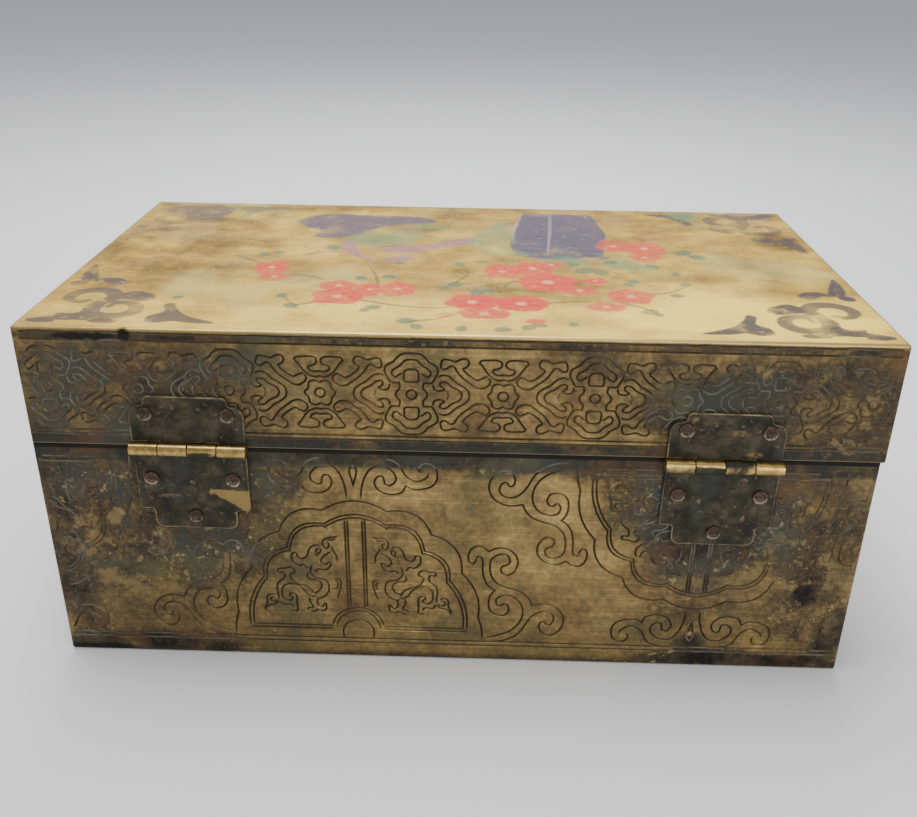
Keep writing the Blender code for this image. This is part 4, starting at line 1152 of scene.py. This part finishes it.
PAINT_COLOURS = {"violet": (0.094, 0.080, 0.120), "slate": (0.064, 0.054, 0.062), "pale": (0.34, 0.32, 0.30),
                 "rose": (0.30, 0.135, 0.18), "moss": (0.160, 0.250, 0.115), "leaf": (0.088, 0.155, 0.092),
                 "stem": (0.12, 0.105, 0.04), "bloom": (0.61, 0.070, 0.045), "strand": (0.40, 0.035, 0.025),
                 "heart": (0.74, 0.36, 0.18)}
LACQUER_SCALE = ((0.0, (0.90, 0.63, 0.105)), (0.28, (0.56, 0.370, 0.070)), (0.48, (0.38, 0.240, 0.044)),
                 (0.68, (0.23, 0.138, 0.029)), (0.86, (0.125, 0.075, 0.022)), (1.0, (0.065, 0.042, 0.018)))
TOP_TARNISH = 0.50
LACQUER_GREEN = (0.44, 0.42, 0.18)
LACQUER_PINK = (0.56, 0.36, 0.18)
SCUFF = (0.68, 0.52, 0.26)
# Stains of the painted side as (x, y from the hinge edge, half width, half depth, tarnish)
TOP_PATCHES = (
    (0, 10, 120, 20, 0.20), (85, 20, 34, 20, -0.06), (-92, 66, 24, 30, 0.66), (-100, 112, 24, 18, 0.52),
    (66, 114, 18, 14, 0.62), (98, 70, 22, 34, 0.46), (10, 100, 10, 22, 0.50), (-20, 128, 90, 6, 0.60),
    (-48, 58, 26, 22, 0.42), (60, 62, 10, 12, 0.46), (-72, 30, 20, 16, 0.32), (109, 92, 6, 10, 0.75))


def painted():
    """Lacquered lid top with its faded picture and brown stains."""
    s = Shade("painted_lid")
    near = s.warped(0.02, 45.0)
    cloud, grain, drift = s.noise(60.0, 9.0, 0.64), s.noise(560.0, 5.0, 0.7), s.noise(26.0, 6.0, 0.6)
    brushed = s.noise(1.0, 4.0, 0.6, stretch=BRUSHED)
    region = TOP_TARNISH
    for x, y, rx, ry, darkness in TOP_PATCHES:
        place = (x, y + LID_LOW.y / MM, 106)
        region = s.blend(s.patch(near, *place, rx, ry, 60, 0.55), region, darkness)
    uneven = (cloud - 0.5) * s.step(region, 0.2, 0.6, 0.7, 1.5)
    darkness = region + (uneven + ((grain - 0.5) * 0.22 + (brushed - 0.5) * 0.55))
    colour = s.ramp(darkness, LACQUER_SCALE)
    colour = s.mix(s.step(drift, 0.52, 0.66, 0.0, 0.35), colour, LACQUER_GREEN)
    colour = s.mix(s.step(drift, 0.46, 0.34, 0.0, 0.25), colour, LACQUER_PINK)
    for layer in PAINT_LAYERS:
        rubbed = (0.36, 0.52, 0.5, 1.0) if layer == "slate" else (0.34, 0.5, 0.72, 1.0)
        cover = s.attribute("paint_" + layer) * s.step(cloud, *rubbed)
        colour = s.mix(cover, colour, PAINT_COLOURS[layer])
    colour = s.mix(s.step(s.noise(300.0, 4.0, 0.6), 0.60, 0.68, 0.0, 0.25), colour, SCUFF)
    return s.finish(colour, 0.15, s.step(grain, 0.2, 0.8, 0.50, 0.68), 0.12,
                    (cloud * 0.6 + grain * 0.3, 0.25, 0.0002))


def inside_brass(name):
    """Unpolished inside of the sheet."""
    s = Shade(name)
    cloud, grain = s.noise(58.0, 9.0, 0.66), s.noise(500.0, 5.0, 0.65)
    level = s.step(cloud, 0.32, 0.68, 0.30, 0.60) + (grain - 0.5) * 0.4
    return s.finish(s.ramp(level, BRASS_SCALE), 0.75, s.step(grain, 0.2, 0.8, 0.42, 0.6),
                    bump=(cloud + grain * 0.4, 0.25, 0.0003))


LEAF_SCALE = ((0.0, (0.066, 0.053, 0.030)), (0.35, (0.039, 0.033, 0.019)), (0.65, (0.025, 0.022, 0.014)),
              (1.0, (0.012, 0.011, 0.008)))
BARE_BRASS, BARE_SHADE = (0.27, 0.18, 0.060), (0.22, 0.145, 0.050)
LEAF_GREY, LEAF_SPOT, LEAF_RUB = (0.042, 0.044, 0.038), (0.20, 0.165, 0.10), (0.22, 0.150, 0.066)
LEAF_RIM, KNUCKLE_BRASS, KNUCKLE_SHADE = (0.27, 0.205, 0.100), (0.49, 0.34, 0.118), (0.29, 0.195, 0.062)
PIN_BRIGHT, PIN_DULL = (0.62, 0.44, 0.19), (0.24, 0.17, 0.08)
RIVET_BROWN, RIVET_COPPER = (0.034, 0.025, 0.017), (0.080, 0.045, 0.028)
RIVET_DIRT, RIVET_LOWER_HIGHLIGHT = (0.026, 0.021, 0.015), (0.42, 0.33, 0.25)
# Rubbed places of each hinge as (x, z, half width, half height, strength) in millimetres from its middle
RUBBED = {"left": ((-7.2, -15.4, 3.0, 0.5, 0.4), (5.2, -13.7, 0.6, 1.0, 0.8), (0.0, -10.8, 0.7, 0.6, 0.9)),
          "right": ((8.0, 3.4, 2.4, 1.0, 0.7), (3.0, 9.8, 3.0, 0.9, 0.5), (-9.4, 13.6, 1.0, 1.0, 0.6),
                    (6.4, -4.4, 1.2, 0.5, 0.7), (-5.4, -11.6, 0.7, 0.6, 0.6), (7.8, -17.0, 0.5, 1.0, 0.6))}
# Bare wedge on the left hinge: its point, its upper edge, its lower edge's slope and its height at the point
WEDGE_START = 4.8
WEDGE_TOP = -12.9
WEDGE_SLOPE = 0.62
WEDGE_LIP = 0.9
WEDGE_SOFT = 0.2
# How bright each knuckle is, from the left, as (upper side, lower side): its own polish,
# with the upper side painted lighter as a painted highlight
KNUCKLE_POLISH_AND_LIGHT = {"left": ((1.0, 0.9), (1.0, 0.85), (1.0, 0.15), (1.0, 0.9)),
                  "right": ((1.0, 0.5), (0.9, -0.3), (0.1, 0.3), (0.9, 0.7))}


def leaf_metal(side):
    """Tarnished hinge leaf, dark olive brown with rubbed edges and bright knuckles, lighter on top as a
    painted highlight.
    """
    s = Shade(f"tarnished_leaf_{side}")
    cloud, grain = s.noise(190.0, 8.0, 0.62), s.noise(1300.0, 4.0, 0.6)
    near = s.warped(0.0022, 420.0)
    colour = s.ramp(s.step(cloud, 0.30, 0.70) + (grain - 0.5) * 0.6, LEAF_SCALE)
    colour = s.mix(s.step(s.noise(120.0, 5.0, 0.6), 0.54, 0.68, 0.0, 0.5), colour, LEAF_GREY)
    colour = s.mix(s.step(s.noise(700.0, 3.0, 0.5), 0.63, 0.70) * 0.35, colour, LEAF_SPOT)
    for x, z, rx, rz, strength in RUBBED[side]:
        rub = s.patch(near, x, 0, z, rx, 60, rz, 0.4) * strength
        colour = s.mix(rub * s.step(grain, 0.4, 0.55, 0.2, 1.0), colour, LEAF_RUB)
    if side == "left":
        along = s.axis("X", near) - WEDGE_START * MM
        level = s.axis("Z", near)
        wedge = s.step(along, 0.0, 2 * WEDGE_SOFT * MM) * s.step(
            level, (WEDGE_TOP - WEDGE_SOFT) * MM, (WEDGE_TOP + WEDGE_SOFT) * MM, 1.0, 0.0)
        fall = level - (along * -WEDGE_SLOPE + (WEDGE_TOP - WEDGE_LIP) * MM)
        wedge = wedge * s.step(fall, -WEDGE_SOFT * MM, WEDGE_SOFT * MM)
        colour = s.mix(wedge * 0.9, colour, s.mix(s.step(cloud, 0.35, 0.65), BARE_BRASS, BARE_SHADE))
    rim = s.attribute("rim") * s.step(s.noise(150.0, 6.0, 0.65), 0.38, 0.60, 0.12, 1.0)
    colour = s.mix(rim, colour, LEAF_RIM)
    # Polish of the knuckles, painted lighter on their upper sides as a painted highlight
    polished_and_lit = s.attribute("polish_and_top_light")
    rubbed = s.step(polished_and_lit + (cloud - 0.5) * 1.6, 0.25, 0.6) * s.step(polished_and_lit, 0.0, 0.1)
    dulled = s.step(s.noise(500.0, 5.0, 0.6), 0.36, 0.64)
    colour = s.mix(rubbed, colour, s.mix(dulled, KNUCKLE_BRASS, KNUCKLE_SHADE))
    return s.finish(colour, s.step(polished_and_lit, 0.0, 1.0, 0.4, 0.95), s.step(polished_and_lit, 0.0, 1.0, 0.52, 0.30), 0.25,
                    (cloud + grain * 0.4, 0.3, 0.0002))


def pin_metal():
    """Bright pin ends."""
    s = Shade("pin_brass")
    mottle = s.noise(700.0, 5.0, 0.6)
    return s.finish(s.mix(s.step(mottle, 0.35, 0.7), PIN_BRIGHT, PIN_DULL), 0.95,
                    s.step(mottle, 0.2, 0.8, 0.28, 0.48), bump=(mottle, 0.2, 0.0001))


def rivet_metal():
    """Coppery rivet head, dirty round its foot, with a painted highlight on its lower rim, uneven from rivet
    to rivet.
    """
    s = Shade("rivet_copper")
    own = s.node("ShaderNodeObjectInfo", "Random")
    lower = s.step(s.axis("Z"), 0.4 * MM, -1.2 * MM, 0.06, 1.0)
    s.place = s.vector("ADD", s.place, own)
    mottle, patch = s.noise(900.0, 5.0, 0.6), s.noise(300.0, 4.0, 0.6)
    colour = s.mix(s.step(mottle, 0.38, 0.62), RIVET_BROWN, RIVET_COPPER)
    colour = s.mix(s.step(patch, 0.46, 0.60, 0.0, 0.8), colour, RIVET_DIRT)
    # Painted highlight on the lower part of the head's rim
    worn = s.step(mottle, 0.36, 0.54) * (lower * s.step(own, 0.1, 0.9, 0.5, 1.0))
    colour = s.mix(s.attribute("rim") * worn, colour, RIVET_LOWER_HIGHLIGHT)
    return s.finish(colour, 0.5, s.step(mottle, 0.2, 0.8, 0.42, 0.65), 0.25, (mottle + patch, 0.4, 0.00025))


def corner_arc(centre_x, centre_z, radius, start, end, steps=8):
    """Rounded plate corner."""
    return [tuple(p) for p in arc((centre_x, centre_z), radius, start, end, steps)]


def leaf_outline(reach, step_reach, step_width, shoulder, own):
    """Outline of a leaf above the axis, with notches round the other leaf's knuckles."""
    neck = LEAF_HALF - step_width
    side = corner_arc(LEAF_HALF - shoulder, step_reach - shoulder, shoulder, 0, 90)
    notch = corner_arc(neck + NOTCH_RADIUS, step_reach + NOTCH_RADIUS, NOTCH_RADIUS, 270, 180, 5)
    corner = min(LEAF_CORNER, reach - step_reach - NOTCH_RADIUS)
    far = corner_arc(neck - corner, reach - corner, corner, 0, 90)
    right = side + notch + far
    outline = right + [(-x, z) for x, z in reversed(right)]
    clear = math.sqrt((BARREL_RADIUS + KNUCKLE_GAP) ** 2 - (BARREL_RADIUS - LEAF_THICKNESS) ** 2)
    pitch = BARREL_LENGTH / KNUCKLES
    foot = []
    for number in range(KNUCKLES):
        start = max(-BARREL_LENGTH / 2 + number * pitch, -LEAF_HALF)
        end = min(-BARREL_LENGTH / 2 + (number + 1) * pitch, LEAF_HALF)
        if number in own:
            foot += [(start + KNUCKLE_GAP / 2, 0.0), (end - KNUCKLE_GAP / 2, 0.0)]
        else:
            foot += [(start - KNUCKLE_GAP / 2 if number else start, clear),
                     (end + KNUCKLE_GAP / 2 if number < KNUCKLES - 1 else end, clear)]
    return outline + [p for i, p in enumerate(foot) if i == 0 or p != foot[i - 1]]


def inset_outline(outline, amount):
    """Outline moved inwards by an amount, for the plate's rounded rim."""
    points = np.array(outline)
    return points + sideways(points, amount, True, SHARPEST_PLATE)


def leaf(name, side, body, node, material, place, facing, shape, own):
    """Hinge leaf as a thin plate with a rounded rim, and knuckles rolled round the pin."""
    bm = bmesh.new()
    rim_layer = bm.verts.layers.float.new("rim")
    polish_light_layer = bm.verts.layers.float.new("polish_and_top_light")
    outline = leaf_outline(*shape, own)
    front = BARREL_RADIUS - LEAF_THICKNESS
    # The plate's rings from back to front, as (y, inset, rim strength)
    levels = ((BARREL_RADIUS, 0.0, 0.0), (front + LEAF_EDGE, 0.0, 1.0),
              (front + LEAF_EDGE * 0.3, LEAF_EDGE * 0.3, 1.0), (front, LEAF_EDGE, 0.8),
              (front, LEAF_EDGE * 2.6, 0.0))
    rings = []
    for y, inset, rim in levels:
        ring = []
        for x, z in inset_outline(outline, inset):
            vert = bm.verts.new((x * MM, y * MM, facing * z * MM))
            vert[rim_layer] = rim if z > FACE_GAP else 0.0
            ring.append(vert)
        rings.append(ring)
    bridge(bm, rings)
    bm.faces.new(rings[0])
    bm.faces.new(rings[-1])
    pitch = BARREL_LENGTH / KNUCKLES
    for number in own:
        start = number * pitch - BARREL_LENGTH / 2 + KNUCKLE_GAP / 2
        end = start + pitch - KNUCKLE_GAP
        knuckle(bm, start, end, polish_light_layer, KNUCKLE_POLISH_AND_LIGHT[side][number])
    smooth_all(bm)
    add_piece(name, bm, [material], body, [node], place)


def knuckle(bm, start, end, layer, polish_and_top_light):
    """One rolled knuckle with softened ends and an open bore, painted brighter above than below as a painted
    highlight.
    """
    soft = KNUCKLE_SOFTENING
    profile = ((BORE_RADIUS, start), (BARREL_RADIUS - soft, start), (BARREL_RADIUS, start + soft),
               (BARREL_RADIUS, end - soft), (BARREL_RADIUS - soft, end), (BORE_RADIUS, end))
    rings = []
    for radius, x in profile:
        ring = []
        for i in range(BARREL_SIDES):
            angle = 2 * math.pi * i / BARREL_SIDES
            vert = bm.verts.new((x * MM, radius * math.cos(angle) * MM, radius * math.sin(angle) * MM))
            # Painted highlight: lighter towards the top of the knuckle
            lit_from_above = min(max(1.6 * math.sin(angle), 0.0), 1.0)
            vert[layer] = polish_and_top_light[1] + (polish_and_top_light[0] - polish_and_top_light[1]) * lit_from_above
            ring.append(vert)
        rings.append(ring)
    bridge(bm, rings + rings[:1])


def turned(name, body, node, slot, material, place, profile, sides):
    """Solid turned about the local Y axis from rings of (radius, y, rim strength)."""
    bm = bmesh.new()
    layer = bm.verts.layers.float.new("rim")
    own = place.translation.x
    rings = []
    for radius, y, rim in profile:
        ring = []
        for i in range(sides):
            angle = 2 * math.pi * i / sides
            # Heads and tails are a little out of round, each in its own way
            uneven = 1 + 0.03 * math.sin(2 * angle + radius + own * 900)
            uneven += 0.02 * math.sin(5 * angle + own * 500)
            wide = radius * (uneven if rim or radius > RIVET_SHANK * 1.2 else 1.0)
            vert = bm.verts.new((wide * math.cos(angle) * MM, y * MM, wide * math.sin(angle) * MM))
            vert[layer] = rim
            ring.append(vert)
        rings.append(ring)
    bridge(bm, rings)
    bm.faces.new(rings[0])
    bm.faces.new(rings[-1])
    smooth_all(bm)
    add_piece(name, bm, [material], body, [node], place)


def rivet(name, body, node, material, place):
    """Rivet with a flattened, ringed and dimpled head and a peened tail inside the wall."""
    head = -(FACE_GAP + LEAF_THICKNESS)
    top = head - RIVET_RISE
    wall = WALL / MM
    # Rings from the tail to the dimple, as (radius, y, rim strength)
    rings = [(RIVET_TAIL * 0.7, wall + FACE_GAP + 0.3, 0), (RIVET_TAIL, wall + FACE_GAP + 0.12, 0),
             (RIVET_TAIL, wall + FACE_GAP * 0.1, 0), (RIVET_SHANK, wall + FACE_GAP * 0.1, 0),
             (RIVET_SHANK, head, 0), (RIVET_HEAD, head, 0.1), (RIVET_HEAD, head - RIVET_RISE * 0.35, 0.3)]
    rings += [(RIVET_HEAD * share, top + drop, rim) for share, drop, rim in RIVET_FACE]
    turned(name, body, node, "rivet_copper", material, place, rings, RIVET_SIDES)


def build_hinges():
    """Both hinges, each placed on the axis by its pin's middle."""
    pin_look = pin_metal()
    rivet_look = rivet_metal()
    tilt = Matrix.Rotation(math.atan2(-AXIS.z, AXIS.x), 4, "Y")
    half = BARREL_LENGTH / 2
    for side in ("left", "right"):
        low, high = (Vector(c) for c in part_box(f"{side}_hinge_pin"))
        along = (low.x + high.x) / 2 - AXIS_POINT.x
        middle = AXIS_POINT + AXIS * (along / AXIS.x)
        place = Matrix.Translation(middle) @ tilt
        metal = leaf_metal(side)
        for level, body, facing, shape, own, rivets in (
                ("upper", "lid_body", 1, UPPER_LEAF, range(1, KNUCKLES, 2), UPPER_RIVETS),
                ("lower", "case_body", -1, LOWER_LEAF, range(0, KNUCKLES, 2), LOWER_RIVETS)):
            node = f"{side}_hinge_{level}_leaf"
            leaf(f"{node}_finish", side, body, node, metal, place, facing, shape, own)
            for number, (x, z) in enumerate(rivets):
                node = f"{side}_hinge_{level}_rivet_{number + 1}"
                spot = place @ Matrix.Translation((x * MM, (BARREL_RADIUS + FACE_GAP) * MM, z * MM))
                rivet(f"{node}_finish", body, node, rivet_look, spot)
        node = f"{side}_hinge_pin"
        (tip, _), (shoulder, inwards) = PIN_ENDS
        profile = ((tip, -half, 0), (shoulder, -half + inwards, 0), (PIN_RADIUS, half - inwards, 0),
                   (tip, half, 0))
        quarter = place @ Matrix.Rotation(math.pi / 2, 4, "Z")
        turned(f"{node}_finish", "case_body", node, "pin_brass", pin_look, quarter, profile, PIN_SIDES)


def build_shells():
    """Case and lid."""
    inner = inside_brass("case_inside")
    outer = brass("case_brass", CASE_LOOK)
    bm = shell(CASE_LOW, CASE_HIGH, True, case_lines)
    add_piece("case_finish", bm, [outer, inner], "case_body", ["case"])
    outer = brass("lid_brass", LID_LOOK)
    bm = shell(LID_LOW, LID_HIGH, False, lid_lines, paint_lid)
    add_piece("lid_finish", bm, [outer, inner, painted()], "lid_body", ["lid"])


# Camera and light
LENS = 38.685
SENSOR_WIDTH = 36.0
NEAREST = 0.01
CAMERA_PLACE = (0.00631, -0.3044, 0.2012)
CAMERA_TURN = (64.0948, -0.7308, 1.5625)
FLOOR_SIZE = 40.0
FLOOR_GREY = (0.70, 0.70, 0.71)
STUDIO_COLOUR = (0.86, 0.87, 0.90, 1.0)
STUDIO_STRENGTH = 0.62
# Disc lights as (name, place, aim, diameter, power), in metres and watts
LIGHTS = (
    ("key", (-0.16, 0.11, 1.20), (0.0, -0.02, 0.05), 0.8, 16.5),
    ("fill", (0.45, -1.1, 0.55), (0.0, 0.0, 0.05), 1.0, 8.5),
    ("back", (0.0, 0.48, 0.6), (0.0, 0.55, 0.0), 0.5, 3.7))


def plain(name, colour, roughness):
    """Plain floor material with a faint unevenness."""
    s = Shade(name)
    darker = tuple(c * 0.97 for c in colour)
    return s.finish(s.mix(s.noise(3.0, 3.0, 0.5), colour, darker), 0.0, roughness)


def stage_and_light():
    """Pale floor, soft studio light and the camera."""
    bm = bmesh.new()
    bmesh.ops.create_grid(bm, x_segments=1, y_segments=1, size=FLOOR_SIZE / 2)
    floor = in_scene("floor", mesh_from("floor", bm, [plain("floor_grey", FLOOR_GREY, 0.5)]))

    world = bpy.data.worlds.new("studio")
    bpy.context.scene.world = world
    world.use_nodes = True
    background = world.node_tree.nodes["Background"]
    background.inputs["Color"].default_value = STUDIO_COLOUR
    background.inputs["Strength"].default_value = STUDIO_STRENGTH

    for name, place, aim, size, power in LIGHTS:
        data = bpy.data.lights.new(name, "AREA")
        data.shape = "DISK"
        data.size = size
        data.energy = power
        lamp = in_scene(name, data)
        lamp.location = place
        lamp.rotation_euler = (Vector(aim) - Vector(place)).to_track_quat("-Z", "Y").to_euler()

    data = bpy.data.cameras.new("camera")
    data.lens = LENS
    data.sensor_width = SENSOR_WIDTH
    data.clip_start = NEAREST
    camera = in_scene("camera", data)
    camera.location = CAMERA_PLACE
    camera.rotation_euler = tuple(math.radians(a) for a in CAMERA_TURN)
    bpy.context.scene.camera = camera


build_shells()
build_hinges()
stage_and_light()
